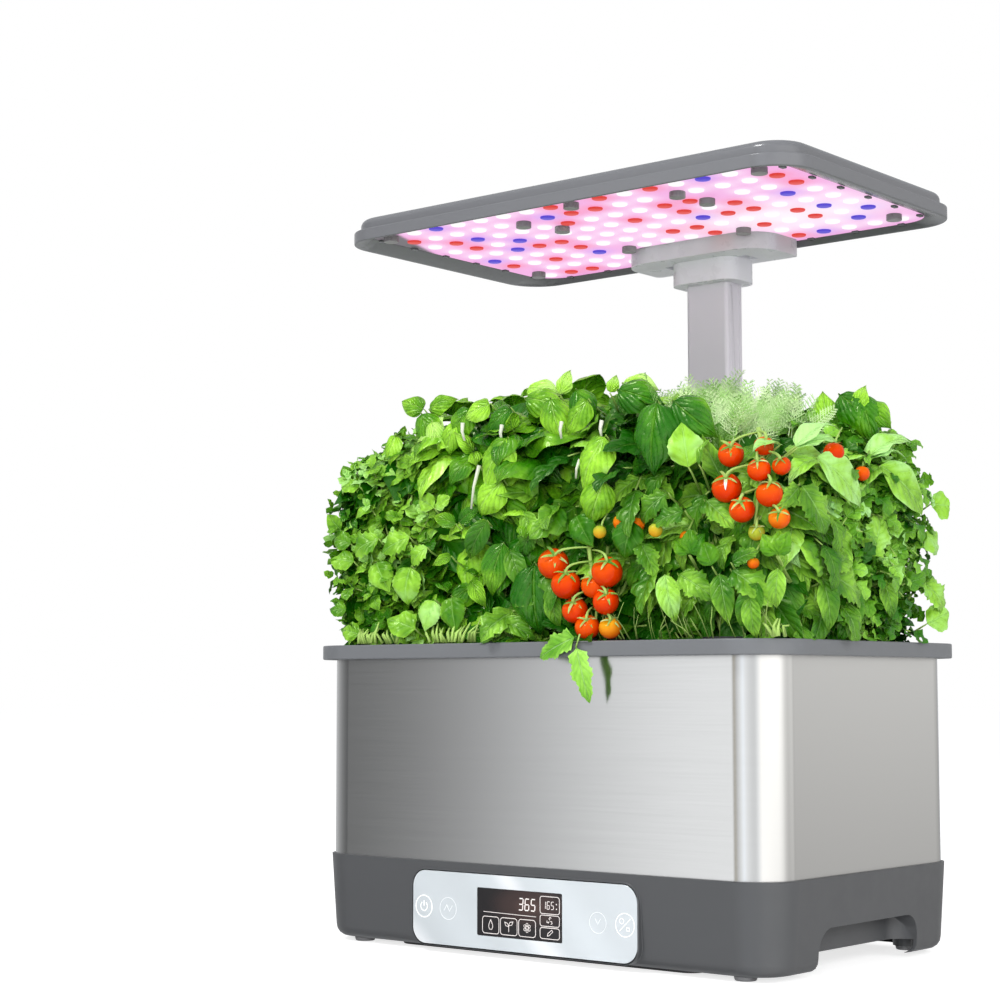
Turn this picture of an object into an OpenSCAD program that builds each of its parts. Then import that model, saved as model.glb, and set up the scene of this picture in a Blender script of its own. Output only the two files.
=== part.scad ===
// Countertop hydroponic garden: a steel-clad planter with a water tank and a pump, a grow deck with
// twelve planted baskets, and an LED lamp on a telescopic mast.
// Millimetres. The origin is on the worktop under the middle of the planter: +X right, +Y back, +Z up.

/* [Planter] */
// Length of the steel sleeve
sleeve_l = 380; // [370:1:400]
// Depth of the steel sleeve
sleeve_w = 232; // [228:1:244]
// Outside corner radius of the sleeve
sleeve_r = 28; // [22:1:34]
// Sheet thickness of the sleeve
sleeve_t = 1; // [0.6:0.1:1.4]
// Height of the grow deck's top face above the worktop
deck_z = 208; // [200:1:230]
// Thickness of the grow deck's plate
deck_t = 4; // [3:0.5:6]
// Height of the deck's rim band
rim_h = 10; // [8:1:14]
// How far the rim stands out past the sleeve
rim_over = 10; // [6:1:12]
// Wall of the rim band
rim_wall = 3; // [2:0.5:4]
// Wall of the water tank
tank_t = 2.5; // [2:0.1:3.5]

/* [Base] */
// Height of the rubber feet
foot_h = 3; // [2:0.5:6]
// Radius of a rubber foot
foot_r = 7.5; // [5:0.5:8]
// Height of the base housing above the feet
base_h = 58; // [54:1:70]
// How far the base's top edge stands out past the sleeve
base_lip = 2.3; // [2:0.1:4]
// How far the base's sides draw in towards the bottom
base_draft = 3.3; // [1:0.1:5]
// Radius that rounds the base's bottom edge
base_fillet = 8; // [4:1:9]
// Wall of the base housing
skirt_t = 3; // [2:0.5:4]
// Thickness of the base housing's floor, which carries the tank
floor_t = 3; // [2.5:0.5:5]
// Depth of the seat that holds the sleeve's lower edge
seat_depth = 4; // [3:0.5:8]

/* [Hand recesses] */
// Width of a hand recess
recess_l = 124; // [100:1:130]
// Height of a hand recess's roof above the worktop
recess_z = 29.4; // [26:0.2:34]
// Depth of a hand recess
recess_d = 16; // [12:1:20]
// Radius of a hand recess's upper corners
recess_r = 15; // [8:1:18]
// Wall round a hand recess
recess_t = 2.5; // [2:0.5:4]
// Height of the bottom cover's outer plate above the worktop
cover_z = 12; // [10:1:14]

/* [Control panel] */
// Length of the fascia
fascia_l = 189; // [180:1:200]
// Height of the fascia
fascia_h = 49; // [46:1:50]
// Corner radius of the fascia
fascia_r = 11; // [6:1:16]
// Thickness of the fascia
fascia_t = 2.5; // [2:0.5:3]
// Sideways place of the fascia's middle
fascia_x = -2; // [-6:1:6]
// Length of the display window
window_l = 72; // [66:1:80]
// Height of the display window
window_h = 31.5; // [26:0.5:32]
// Distance between two neighbouring touch keys
key_pitch = 21; // [18:1:24]
// Distance of the inner touch keys from the fascia's middle
key_x = 64; // [60:1:66]

/* [Mast] */
// Width of the sliding mast
mast_l = 37; // [32:1:40]
// Depth of the sliding mast
mast_w = 22; // [20:1:24]
// Wall of the sliding mast
mast_t = 1.6; // [1.2:0.1:2]
// Distance of the mast's axis in front of the sleeve's back
mast_inset = 5; // [4:0.5:7]
// Wall of the fixed mast
outer_t = 1.8; // [1.4:0.1:2.2]
// Height of the fixed mast above the deck
outer_rise = 187; // [175:1:195]
// How far the lamp can rise
lamp_up = 75; // [50:1:80]
// Height of the collar on the fixed mast
collar_h = 22; // [16:1:30]

/* [Lamp] */
// Length of the lamp
lamp_l = 392; // [384:1:400]
// Depth of the lamp
lamp_w = 229; // [226:1:234]
// Corner radius of the lamp
lamp_r = 30; // [24:1:34]
// How far the lamp reaches behind the mast's axis
lamp_aft = 22.2; // [20:0.1:24]
// Height of the lamp's lower edge above the deck
lamp_gap = 297.5; // [292:0.5:310]
// Height of the lamp's bezel band
band_h = 8.8; // [8:0.2:11]
// Height of the lamp's cover above the band
cover_h = 9.7; // [9:0.1:14]
// How far the lamp's cover is set in from the band
cover_inset = 5; // [3:0.5:7]
// Height of the LED board above the lamp's lower edge
board_step = 5; // [4:0.5:5.5]
// Width of the sloping flange at the lamp's short ends
end_flange = 20; // [14:1:22]
// Width of the sloping flange at the lamp's long sides
side_flange = 4.2; // [3.6:0.1:5]
// Thickness of the LED board
board_t = 1.6; // [1:0.2:2]
// Diameter of an LED's lens
led_d = 11.6; // [9:0.2:12]
// How far an LED's lens stands below the board
led_h = 2; // [1:0.5:3]
// Clear strip of board round the LEDs
led_margin = 11; // [8:0.5:14]

/* [Hub] */
// Length of the hub's plate
hub_l = 128; // [116:1:134]
// Height of the hub's plate
hub_h = 12.5; // [10:0.5:15]
// Distance of the hub plate's front edge in front of the mast's axis
hub_fore = 36; // [34:1:44]
// Radius of the hub plate's front corners
hub_r = 26; // [20:1:28]
// Wall of the hub's collar
hub_wall = 10.5; // [7:0.5:11]
// Length of the hub's collar below its plate
hub_drop = 17; // [12:1:20]

/* [Growing] */
// Distance between basket columns
pod_pitch_x = 94; // [88:1:96]
// Distance between basket rows
pod_pitch_y = 68; // [62:1:69]
// Place of the middle row of baskets
pod_y = -14; // [-16:1:-12]
// Height of the tallest foliage above the deck
leaf_top = 200; // [170:5:210]
// Radius of a basket's opening in the deck
pod_r = 15; // [12:1:17]
// Length of a basket below the deck
pod_h = 52; // [40:1:60]
// Wall of a basket
pod_t = 1.2; // [1:0.1:2]

/* [Fill lid] */
// Length of the fill lid
lid_l = 52; // [44:1:56]
// Depth of the fill lid
lid_w = 22; // [20:1:23]
// Thickness of the fill lid
lid_t = 2.2; // [2:0.1:3]
// Radius of the lid's hinge pin
lid_pin_r = 1.2; // [1:0.1:1.4]

/* [Float gauge] */
// Travel of the float
float_travel = 40; // [20:1:50]
// Radius of the float
float_r = 8; // [6:0.5:9]
// Radius of the float's rod
rod_r = 1.8; // [1.4:0.1:2.2]

/* [Pump] */
// Length of the pump's body
pump_l = 44; // [40:1:50]
// Depth of the pump's body
pump_w = 34; // [30:1:40]
// Height of the pump's body
pump_h = 38; // [36:1:44]
// Radius of the impeller
impeller_r = 11; // [9:0.5:12]
// Radius of the pump's outlet
outlet_r = 4.5; // [3.5:0.5:6]

/* [Hidden] */
$fn = 64;

// Clearances between pieces
fit = 0.3; // between housings that drop into each other
slide_gap = 0.4; // round the sliding mast
run_gap = 0.05; // between a shaft and its bore
cut = 1; // how far a cutting body runs past a face

// Heights of the planter
base_top = foot_h + base_h;
seat_z = base_top - seat_depth;
floor_under = seat_z - floor_t;
deck_under = deck_z - deck_t;
rim_z = deck_z - rim_h;

// Outlines of the base
base_l = sleeve_l + 2 * base_lip;
base_w = sleeve_w + 2 * base_lip;
base_r = sleeve_r + base_lip;
cover_t = 2.5;
pan_l = 250;
pan_w = 193;
pan_y = -7;
pan_r = 10;
pan_z = 1;
pan_t = 2;

// Hand recesses
recess_x = base_l / 2 - base_draft - recess_d;
recess_end_r = 14;

// Feet and screws
foot_x = 160;
foot_y = base_w / 2 - base_draft - base_fillet - foot_r;
foot_stem_r = 2.6;
foot_stem_h = 6;
foot_boss_r = foot_r + 1.5;
screw_r = 1.5;
screw_head_r = 2.8;
screw_head_h = 2;
screw_boss_r = 4.5;
cover_screw_x = 145;
cover_screw_y = 75;
cover_screw_l = 12;

// Control panel
fascia_z = foot_h + base_h / 2 - 2;
pad_edge = 1.2;
pad_proud = 0.8;
pad_back = 10;
pad_y = -base_w / 2 - pad_proud;
fascia_y = pad_y - 0.2;
fascia_back = fascia_y + fascia_t;
window_x = fascia_x - 1;
window_t = 1.5;
window_gap = 0.15;
spring_r = 3;
bay_l = 2 * (key_x + key_pitch + spring_r) + 4;
bay_h = 36;
module_l = window_l + 6;
module_h = window_h + 4;
touch_y = pad_y + pad_back + fit;
touch_t = 1.6;
touch_l = bay_l;
touch_h = 40;
module_t = touch_y - fascia_back;
keys_x = [for (s = [-1, 1], i = [0, 1]) fascia_x + s * (key_x + i * key_pitch)];

// Control board
board_x = 10;
board_y = 0;
ctrl_l = 110;
ctrl_w = 70;
ctrl_t = 1.6;
ctrl_z = floor_under - 14;
ctrl_screw_x = ctrl_l / 2 - 6;
ctrl_screw_y = ctrl_w / 2 - 6;
ribbon_l = 20;
ribbon_t = 0.8;

// Power socket in the back of the base
socket_x = 112;
socket_z = foot_h + 22;
socket_r = 6;
socket_bore_r = 3.2;
socket_bore_l = 9;
socket_flange_r = 8.5;
socket_y = base_w / 2 + 0.6;
socket_box = 14;
socket_barrel = 10;
socket_depth = 22.9;
lead_r = 2;

// Masts
mast_y = sleeve_w / 2 - mast_inset;
mast_r = 3;
glide_t = 1.2;
outer_in_l = mast_l + 2 * (glide_t + fit);
outer_in_w = mast_w + 2 * (glide_t + fit);
outer_l = outer_in_l + 2 * outer_t;
outer_w = outer_in_w + 2 * outer_t;
outer_r = mast_r + glide_t + fit + outer_t;
outer_top = deck_z + outer_rise;
collar_lip = 3;
collar_t = 3.5;
socket_floor_z = 66;
socket_floor_t = 4;
lead_hole_r = 7;

// Spine behind the planter, which holds the fixed mast
spine_l = outer_l + 2 * fit + 8;
spine_w = outer_w + 2 * fit + 6;
spine_r = 4;
spine_front = mast_y - spine_w / 2;
flange_l = spine_l + 32;
flange_w = 30;
flange_t = 3;
flange_y = spine_front + 3;
spine_screw_x = spine_l / 2 + 9;
spine_screw_y = [flange_y - 9, flange_y + 9];

// Tank
tank_gap = 0.4;
tank_l = sleeve_l - 2 * (sleeve_t + tank_gap);
tank_w = sleeve_w - 2 * (sleeve_t + tank_gap);
tank_r = sleeve_r - sleeve_t - tank_gap;
tank_floor = seat_z + tank_t;

// Deck
rim_l = sleeve_l + 2 * rim_over;
rim_w = sleeve_w + 2 * rim_over;
rim_r = sleeve_r + rim_over;
tongue_l = spine_l + 2 * fit + 2 * rim_wall;
tongue_back = mast_y + spine_w / 2 + fit + rim_wall;
tongue_r = 6;
key_ring_h = 8;
key_ring_t = 2;

// Baskets and sponges
pod_cols = 4;
pod_rows = 3;
pods = [for (j = [0 : pod_rows - 1], i = [0 : pod_cols - 1])
    [(i - (pod_cols - 1) / 2) * pod_pitch_x, pod_y + (j - 1) * pod_pitch_y]];
pod_flange_r = pod_r + 4;
pod_flange_t = 2;
pod_end_r = pod_r - 4;
pod_slot = 3;
sponge_top = deck_z + pod_flange_t - 1;

// Fill lid
lid_x = 94;
lid_back = sleeve_w / 2 - sleeve_t - 2;
hinge_z = deck_z + lid_t;
knuckle_r = lid_pin_r + 1.3;
knuckle_gap = 0.3;
port_l = lid_l - 6;
port_w = lid_w - 6;
ear_l = 6;

// Float gauge
gauge_x = -94;
guide_t = 1.4;
guide_r = float_r + 0.5 + guide_t;
gauge_y = tank_w / 2 - tank_t - guide_r - 2 * fit;
guide_flange_r = guide_r + 2.5;
guide_flange_t = 1.6;
float_h = 24;
guide_lip = 2;
guide_h = float_h + float_travel + 20;
guide_z = deck_z - guide_h;

// Pump
pump_x = -62;
pump_y = tank_w / 2 - 62.6;
cup_h = 5;
cup_r = 6;
pump_z = tank_floor + cup_h;
shaft_z = pump_z + pump_h / 2 - 1;
shaft_r = 1.25;
chamber_r = impeller_r + 2;
chamber_l = 12;
rotor_r = 7.5;
rotor_l = 14;
pump_front = pump_y - pump_w / 2;
intake_t = 3;
outlet_h = 14;
outlet_x = pump_x + 9;
hose_t = 1.4;
hose_rise = 22;
hose_bend = 16;
grommet_x = pump_x;
grommet_y = pump_y + pump_w / 2 + 16;
grommet_r = 6;
grommet_lip = 1.5;

// Lamp
lamp_z = deck_z + lamp_gap;
lamp_y = mast_y + lamp_aft - lamp_w / 2;
band_t = 2;
board_z = lamp_z + board_step;
board_l = lamp_l - 2 * (band_t + 2);
board_w = lamp_w - 2 * (band_t + fit);
board_r = lamp_r - band_t - 2;
cover_zb = lamp_z + band_h;
lamp_cover_t = 2.4;
cover_edge = 5;
led_cols = 16;
led_rows = 9;
led_pitch_x = (lamp_l - 2 * (end_flange + led_margin) - led_d) / (led_cols - 1);
led_pitch_y = (lamp_w - 2 * (side_flange + led_margin) - led_d) / (led_rows - 1);
standoff_r = 5.5;
standoff_h = 4.5;
standoff_shares = [
    [-0.41, -0.41], [-0.41, 0.35], [0.41, -0.41], [0.41, 0.35], [0.02, -0.41], [-0.14, -0.3],
    [0.21, -0.32], [-0.11, -0.17], [0.22, -0.19], [-0.12, 0.21], [0.14, 0.215]
];
standoffs = [for (s = standoff_shares) [s[0] * lamp_l, lamp_y + s[1] * lamp_w]];

// Hub
hub_z = board_z - hub_h;
hub_back = lamp_y + lamp_w / 2 - side_flange - fit;
hub_front = mast_y - hub_fore;
hub_collar_l = mast_l + 2 * hub_wall;
hub_collar_fore = mast_w / 2 + hub_wall;
hub_collar_aft = min(hub_collar_fore, hub_back - mast_y);
hub_screw_x = hub_l / 2 - 17;
hub_screw_end = 4;
hub_screw_l = hub_h - screw_head_h - 1 + board_t + hub_screw_end;
hub_screw_y = [hub_front + 10, hub_back - 9];
hub_socket_h = hub_drop + hub_h - 3;
mast_top = hub_z - hub_drop + hub_socket_h - fit;
glide_top = outer_top - fit - lamp_up;
glide_h = 48;
mast_bottom = glide_top - glide_h;

// Foliage
leaf_gap = 0.4;
leaf_end = rim_l / 2 + 6;
leaf_front = 4 - rim_w / 2;
leaf_back = mast_y - 25;
col_edges = [-leaf_end, -pod_pitch_x, 0, pod_pitch_x, leaf_end];
row_edges = [leaf_front, pod_y - pod_pitch_y / 2, pod_y + pod_pitch_y / 2, leaf_back];
leaf_low = deck_z + 5;
basil_leaf_y = leaf_front + 2;
front_leaf_y = leaf_front + 15;
right_leaf_y = leaf_front + 21;
stem_r = 4;
truss_r = 1.6;
stalk_r = 1.2;

// Fruit: place across and back from its stem, height above the deck, radius
front_stem = [54, front_leaf_y - 5];
front_truss = [
    [-27, -8, 51, 10.4], [-15, -10, 37, 9.8], [17, -8, 44, 10.2], [5, -6, 36, 8.6],
    [-10, -7, 20, 8.6], [16, -8, 25, 8.6], [0, -7, 9, 8.2], [17, -5, 8.4, 7.4]
];
right_stem = [178, right_leaf_y - 5];
right_truss = [
    [-16, -7, 114, 8.2], [6, -4, 118, 6.6], [-18, -9, 93, 9.4], [5, -8, 103, 8],
    [18, -3, 105, 6.6], [-7, -9, 79, 8.6], [11, -6, 88, 8.6], [16, -3, 73, 7.4],
    [0, -4, 65, 5.2]
];

// Routes of the leads inside the housings
socket_end = socket_y - socket_depth;
board_corner = [board_x + ctrl_l / 2 - 7, board_y + ctrl_w / 2 - 5];
socket_route = concat(
    [[socket_x, socket_end, socket_z], [socket_x, socket_end - 8, socket_z]],
    [for (s = [0.2, 0.4, 0.6, 0.8])
        [socket_x + (board_corner[0] - socket_x) * s,
            socket_end - 8 + (board_corner[1] - socket_end + 8) * s,
            socket_z + (ctrl_z - 4 - socket_z) * s]],
    [[board_corner[0], board_corner[1], ctrl_z - 6]]
);
pump_route = [
    [grommet_x, pump_y + pump_w / 2, pump_z + 12], [grommet_x, pump_y + pump_w / 2 + 6, pump_z + 12],
    [grommet_x, grommet_y - 4, pump_z + 9], [grommet_x, grommet_y, pump_z + 2],
    [grommet_x, grommet_y, seat_z], [grommet_x, grommet_y, floor_under - 6],
    [grommet_x + 2, grommet_y - 12, 40], [-56, 56, 37], [-48, 40, 36], [-42, 30, ctrl_z - 6]
];

// ---------- shared shapes ----------

// A rectangle with round corners, centred
module outline(l, w, r) {
    square([l - 2 * r, w], center = true);
    square([l, w - 2 * r], center = true);
    for (x = [-1, 1], y = [-1, 1])
        translate([x * (l / 2 - r), y * (w / 2 - r)]) circle(r);
}

// The same, raised to a height
module block(l, w, h, r) {
    linear_extrude(h) outline(l, w, r);
}

// A rod from one point to another
module rod(a, b, r) {
    d = b - a;
    reach = norm(d);
    translate(a)
        rotate([0, acos(d[2] / reach), atan2(d[1], d[0])])
            cylinder(r = r, h = reach, $fn = 16);
}

// A screw that points up from the underside of its head
module screw(length) {
    translate([0, 0, -screw_head_h]) cylinder(r = screw_head_r, h = screw_head_h);
    cylinder(r = screw_r, h = length);
}

// Four copies, mirrored across X and Y
module corners(x, y) {
    for (sx = [-1, 1], sy = [-1, 1]) translate([sx * x, sy * y, 0]) children();
}

// Direction of a route at one of its points
function along(p, i) =
    let (d = p[min(i + 1, len(p) - 1)] - p[max(i - 1, 0)]) d / norm(d);

// A round lead swept along a route
module lead(p, r, sides = 8) {
    n = len(p);
    rings = [for (i = [0 : n - 1])
        let (t = along(p, i),
             side = abs(t[2]) > 0.9 ? [1, 0, 0] : [0, 0, 1],
             u = cross(t, side) / norm(cross(t, side)),
             v = cross(u, t))
        each [for (k = [0 : sides - 1])
            let (a = 360 * k / sides) p[i] + r * (cos(a) * u + sin(a) * v)]];
    skin = [for (i = [0 : n - 2], k = [0 : sides - 1])
        let (a = i * sides + k, b = i * sides + (k + 1) % sides) [a, b, b + sides, a + sides]];
    ends = [[for (k = [sides - 1 : -1 : 0]) k], [for (k = [0 : sides - 1]) (n - 1) * sides + k]];
    polyhedron(points = rings, faces = concat(skin, ends), convexity = 4);
}

// ---------- base ----------

// One level of the base's outside, drawn in by an inset
module base_level(z, inset) {
    translate([0, 0, z])
        linear_extrude(0.1) outline(base_l - 2 * inset, base_w - 2 * inset, base_r - inset);
}

// The base's form, grown inwards by a wall
module base_form(wall, top) {
    hull() {
        base_level(top - 0.1, wall);
        for (a = [0 : 22.5 : 90])
            base_level(
                foot_h + base_fillet * (1 - sin(a)) - (wall > 0 && a == 90 ? cut : 0),
                wall + base_draft + base_fillet * (1 - cos(a))
            );
    }
}

// Space of a hand recess on the right, grown by a wall
module recess_space(grow) {
    half = recess_l / 2 + grow;
    top = recess_z + grow;
    r = recess_r + grow;
    reach = recess_d + 40;
    intersection() {
        translate([recess_x - grow + reach / 2, 0, 0])
            block(reach, 2 * half, top + cut, recess_end_r + grow);
        translate([recess_x - grow - cut, 0, 0])
            rotate([90, 0, 90])
                linear_extrude(reach + 2 * cut) {
                    translate([-half, -cut]) square([2 * half, top - r + cut]);
                    translate([r - half, -cut]) square([2 * (half - r), top + cut]);
                    for (s = [-1, 1]) translate([s * (half - r), top - r]) circle(r);
                }
    }
}

// A plate that faces forward, from its front face back
module front_plate(x, y, l, h, t, r) {
    translate([x, y, fascia_z])
        rotate([90, 0, 0])
            translate([0, 0, -t]) block(l, h, t, r);
}

// Space round the spine where it stands in the base, the tank or the deck's ring
module spine_space(grow, z, h) {
    back = sleeve_w;
    translate([-spine_l / 2 - grow, spine_front - grow, z]) cube([spine_l + 2 * grow, back, h]);
}

module base_housing() {
    color("#5b5c5f")
        difference() {
            union() {
                difference() {
                    base_form(0, base_top);
                    base_form(skirt_t, floor_under);
                }
                front_plate(fascia_x, pad_y, fascia_l + 2 * pad_edge, fascia_h + 2 * pad_edge,
                    pad_back, fascia_r + pad_edge);
                base_inside();
            }
            translate([0, 0, seat_z])
                block(sleeve_l + fit, sleeve_w + fit, seat_depth + cut, sleeve_r + fit / 2);
            spine_space(fit, 0, base_top + cut);
            for (m = [0, 1]) mirror([m, 0, 0]) recess_space(0);
            front_plate(fascia_x, pad_y - cut, fascia_l + fit, fascia_h + fit,
                cut + fascia_back - pad_y, fascia_r);
            translate([fascia_x - bay_l / 2, pad_y - cut, fascia_z - bay_h / 2])
                cube([bay_l, pad_back + 2 * cut, bay_h]);
            corners(foot_x, foot_y)
                translate([0, 0, foot_h - cut])
                    cylinder(r = foot_stem_r + run_gap, h = foot_stem_h + cut + fit);
            for (sx = [-1, 1], y = [-1, 0, 1])
                translate([sx * cover_screw_x, y * cover_screw_y, cover_z])
                    cylinder(r = screw_r + run_gap, h = cover_screw_l + fit);
            translate([board_x, board_y, 0])
                corners(ctrl_screw_x, ctrl_screw_y)
                    translate([0, 0, ctrl_z]) cylinder(r = screw_r + run_gap, h = cover_screw_l);
            for (sx = [-1, 1], y = spine_screw_y)
                translate([sx * spine_screw_x, y, floor_under - cut])
                    cylinder(r = screw_r + run_gap, h = floor_t + 2 * cut);
            translate([grommet_x, grommet_y, floor_under - cut])
                cylinder(r = grommet_r, h = floor_t + 2 * cut);
            translate([socket_x, base_w / 2 - skirt_t - base_draft - 2 * cut, socket_z])
                rotate([-90, 0, 0]) cylinder(r = socket_r + fit, h = 12);
        }
}

// Bosses and recess walls inside the base
module base_inside() {
    intersection() {
        base_form(0, base_top);
        union() {
            for (m = [0, 1])
                mirror([m, 0, 0])
                    intersection() {
                        recess_space(recess_t);
                        translate([0, -base_w / 2, cover_z]) cube([base_l, base_w, base_h]);
                    }
            corners(foot_x, foot_y)
                translate([0, 0, foot_h]) cylinder(r = foot_boss_r, h = floor_under - foot_h + cut);
            for (sx = [-1, 1], y = [-1, 0, 1])
                translate([sx * cover_screw_x, y * cover_screw_y, cover_z + cover_t])
                    cylinder(r = screw_boss_r, h = floor_under - cover_z);
            translate([board_x, board_y, 0])
                corners(ctrl_screw_x, ctrl_screw_y)
                    translate([0, 0, ctrl_z + ctrl_t])
                        cylinder(r = screw_boss_r, h = floor_under - ctrl_z);
        }
    }
}

module bottom_cover() {
    inset = base_draft + skirt_t + fit + 0.4;
    color("#3f4043")
        difference() {
            union() {
                translate([0, 0, cover_z])
                    block(base_l - 2 * inset, base_w - 2 * inset, cover_t, base_r - inset);
                translate([0, pan_y, pan_z]) block(pan_l, pan_w, cover_z + cover_t - pan_z, pan_r);
            }
            translate([0, pan_y, pan_z + pan_t])
                block(pan_l - 2 * pan_t, pan_w - 2 * pan_t, cover_z + cover_t, pan_r - pan_t);
            for (m = [0, 1]) mirror([m, 0, 0]) recess_space(recess_t + fit);
            spine_space(fit, 0, base_top);
            corners(foot_x, foot_y) cylinder(r = foot_boss_r + fit, h = base_h);
            for (sx = [-1, 1], y = [-1, 0, 1])
                translate([sx * cover_screw_x, y * cover_screw_y, 0])
                    cylinder(r = screw_r + 0.2, h = base_h);
            front_plate(fascia_x, pad_y, fascia_l + 4, fascia_h + 4,
                pad_back + touch_t + 3 * fit, fascia_r);
        }
}

module feet() {
    color("#8a8b8e")
        corners(foot_x, foot_y) {
            cylinder(r1 = foot_r - 0.8, r2 = foot_r, h = foot_h);
            translate([0, 0, foot_h]) cylinder(r = foot_stem_r, h = foot_stem_h);
        }
}

module housing_screws() {
    color("#b8babd") {
        for (sx = [-1, 1], y = [-1, 0, 1])
            translate([sx * cover_screw_x, y * cover_screw_y, cover_z]) screw(cover_screw_l);
        for (sx = [-1, 1], y = spine_screw_y)
            translate([sx * spine_screw_x, y, floor_under - flange_t])
                screw(flange_t + floor_t - fit);
        translate([board_x, board_y, ctrl_z])
            corners(ctrl_screw_x, ctrl_screw_y) screw(cover_screw_l - fit);
    }
}

// ---------- control panel ----------

module control_fascia() {
    color("#e3eaef")
        difference() {
            front_plate(fascia_x, fascia_y, fascia_l, fascia_h, fascia_t, fascia_r);
            front_plate(window_x, fascia_y - cut, window_l, window_h, window_t + cut, 1);
            front_plate(window_x, fascia_y - cut, window_l - 3, window_h - 3, fascia_t + 2 * cut, 1);
        }
}

module display_window() {
    color("#2b2627")
        front_plate(window_x, fascia_y, window_l - 2 * window_gap, window_h - 2 * window_gap,
            window_t, 1);
}

module display_module() {
    color("#3a4a44")
        front_plate(window_x, fascia_back, module_l, module_h, module_t, 1.5);
}

module touch_board() {
    color("#2f5d43")
        front_plate(fascia_x, touch_y, touch_l, touch_h, touch_t, 2);
}

module touch_springs() {
    color("#c9b46a")
        for (x = keys_x)
            translate([x, fascia_back, fascia_z])
                rotate([-90, 0, 0]) cylinder(r = spring_r, h = touch_y - fascia_back);
}

module control_board() {
    low = 6;
    color("#2f5d43")
        difference() {
            union() {
                translate([board_x, board_y, ctrl_z]) block(ctrl_l, ctrl_w, ctrl_t, 2);
                translate([board_x - 34, board_y + 24, ctrl_z - low]) cube([22, 9, low]);
                translate([board_x + 20, board_y + 20, ctrl_z - low]) cube([22, 11, low]);
                translate([board_x - 12, board_y - 33, ctrl_z - 4]) cube([24, 6, 4]);
                translate([board_x - 8, board_y - 10, ctrl_z - 2]) cube([16, 16, 2]);
                translate([board_x + 28, board_y - 4, ctrl_z - 9]) cylinder(r = 6, h = 9);
                translate([board_x - 30, board_y - 4, ctrl_z - 8]) cylinder(r = 5, h = 8);
            }
            translate([board_x, board_y, 0])
                corners(ctrl_screw_x, ctrl_screw_y)
                    translate([0, 0, ctrl_z - cut]) cylinder(r = screw_r + 0.2, h = ctrl_t + 2 * cut);
        }
}

// A flat cable from the touch board's back to the control board's front connector
module ribbon_cable() {
    y0 = touch_y + touch_t;
    y1 = board_y - 33;
    z0 = fascia_z - 4;
    z1 = ctrl_z - 2.5;
    color("#c8c4b8")
        translate([board_x - ribbon_l / 2, 0, 0])
            rotate([90, 0, 90])
                linear_extrude(ribbon_l)
                    polygon([
                        [y0, z0], [y0 + 20, z0 - 8], [y1 - 16, z1 - 5], [y1, z1],
                        [y1, z1 + ribbon_t], [y1 - 16, z1 - 5 + ribbon_t],
                        [y0 + 20, z0 - 8 + ribbon_t], [y0, z0 + ribbon_t]
                    ]);
}

module power_socket() {
    color("#1c1c1e")
        translate([socket_x, socket_y, socket_z])
            rotate([90, 0, 0])
                difference() {
                    union() {
                        cylinder(r = socket_flange_r, h = 1);
                        cylinder(r = socket_r, h = socket_barrel + cut);
                        translate([-socket_box / 2, -socket_box / 2, socket_barrel])
                            cube([socket_box, socket_box, socket_depth - socket_barrel]);
                    }
                    translate([0, 0, -cut]) cylinder(r = socket_bore_r, h = socket_bore_l + cut);
                }
}

module power_lead() {
    color("#2a2a2c") lead(socket_route, lead_r);
}

// ---------- planter ----------

module steel_sleeve() {
    color("#c9cacb")
        difference() {
            translate([0, 0, seat_z]) block(sleeve_l, sleeve_w, deck_under - seat_z, sleeve_r);
            translate([0, 0, seat_z - cut])
                block(sleeve_l - 2 * sleeve_t, sleeve_w - 2 * sleeve_t,
                    deck_under - seat_z + 2 * cut, sleeve_r - sleeve_t);
            spine_space(fit, seat_z - cut, deck_z);
        }
}

module rear_spine() {
    color("#7d7f83")
        difference() {
            union() {
                translate([0, mast_y, foot_h])
                    block(spine_l, spine_w, deck_under - foot_h, spine_r);
                translate([0, flange_y, floor_under - flange_t])
                    block(flange_l, flange_w, flange_t, 3);
            }
            translate([0, mast_y, socket_floor_z])
                block(outer_l + fit, outer_w + fit, deck_z, outer_r + fit / 2);
            translate([0, mast_y, foot_h - cut])
                block(outer_l, outer_w, socket_floor_z - socket_floor_t - foot_h + cut, outer_r);
            translate([0, mast_y, 0]) cylinder(r = lead_hole_r, h = deck_z);
            for (sx = [-1, 1], y = spine_screw_y)
                translate([sx * spine_screw_x, y, 0]) cylinder(r = screw_r + 0.2, h = base_top);
            translate([grommet_x, grommet_y, 0]) cylinder(r = grommet_r + 3, h = base_top);
        }
}

module water_tank() {
    color("#3c3e42")
        difference() {
            translate([0, 0, seat_z]) block(tank_l, tank_w, deck_under - seat_z, tank_r);
            difference() {
                translate([0, 0, tank_floor])
                    block(tank_l - 2 * tank_t, tank_w - 2 * tank_t, deck_z, tank_r - tank_t);
                spine_space(fit + tank_t, tank_floor - cut, deck_z);
            }
            spine_space(fit, seat_z - cut, deck_z);
            translate([grommet_x, grommet_y, seat_z - cut])
                cylinder(r = grommet_r - grommet_lip, h = tank_t + 2 * cut);
        }
}

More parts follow.
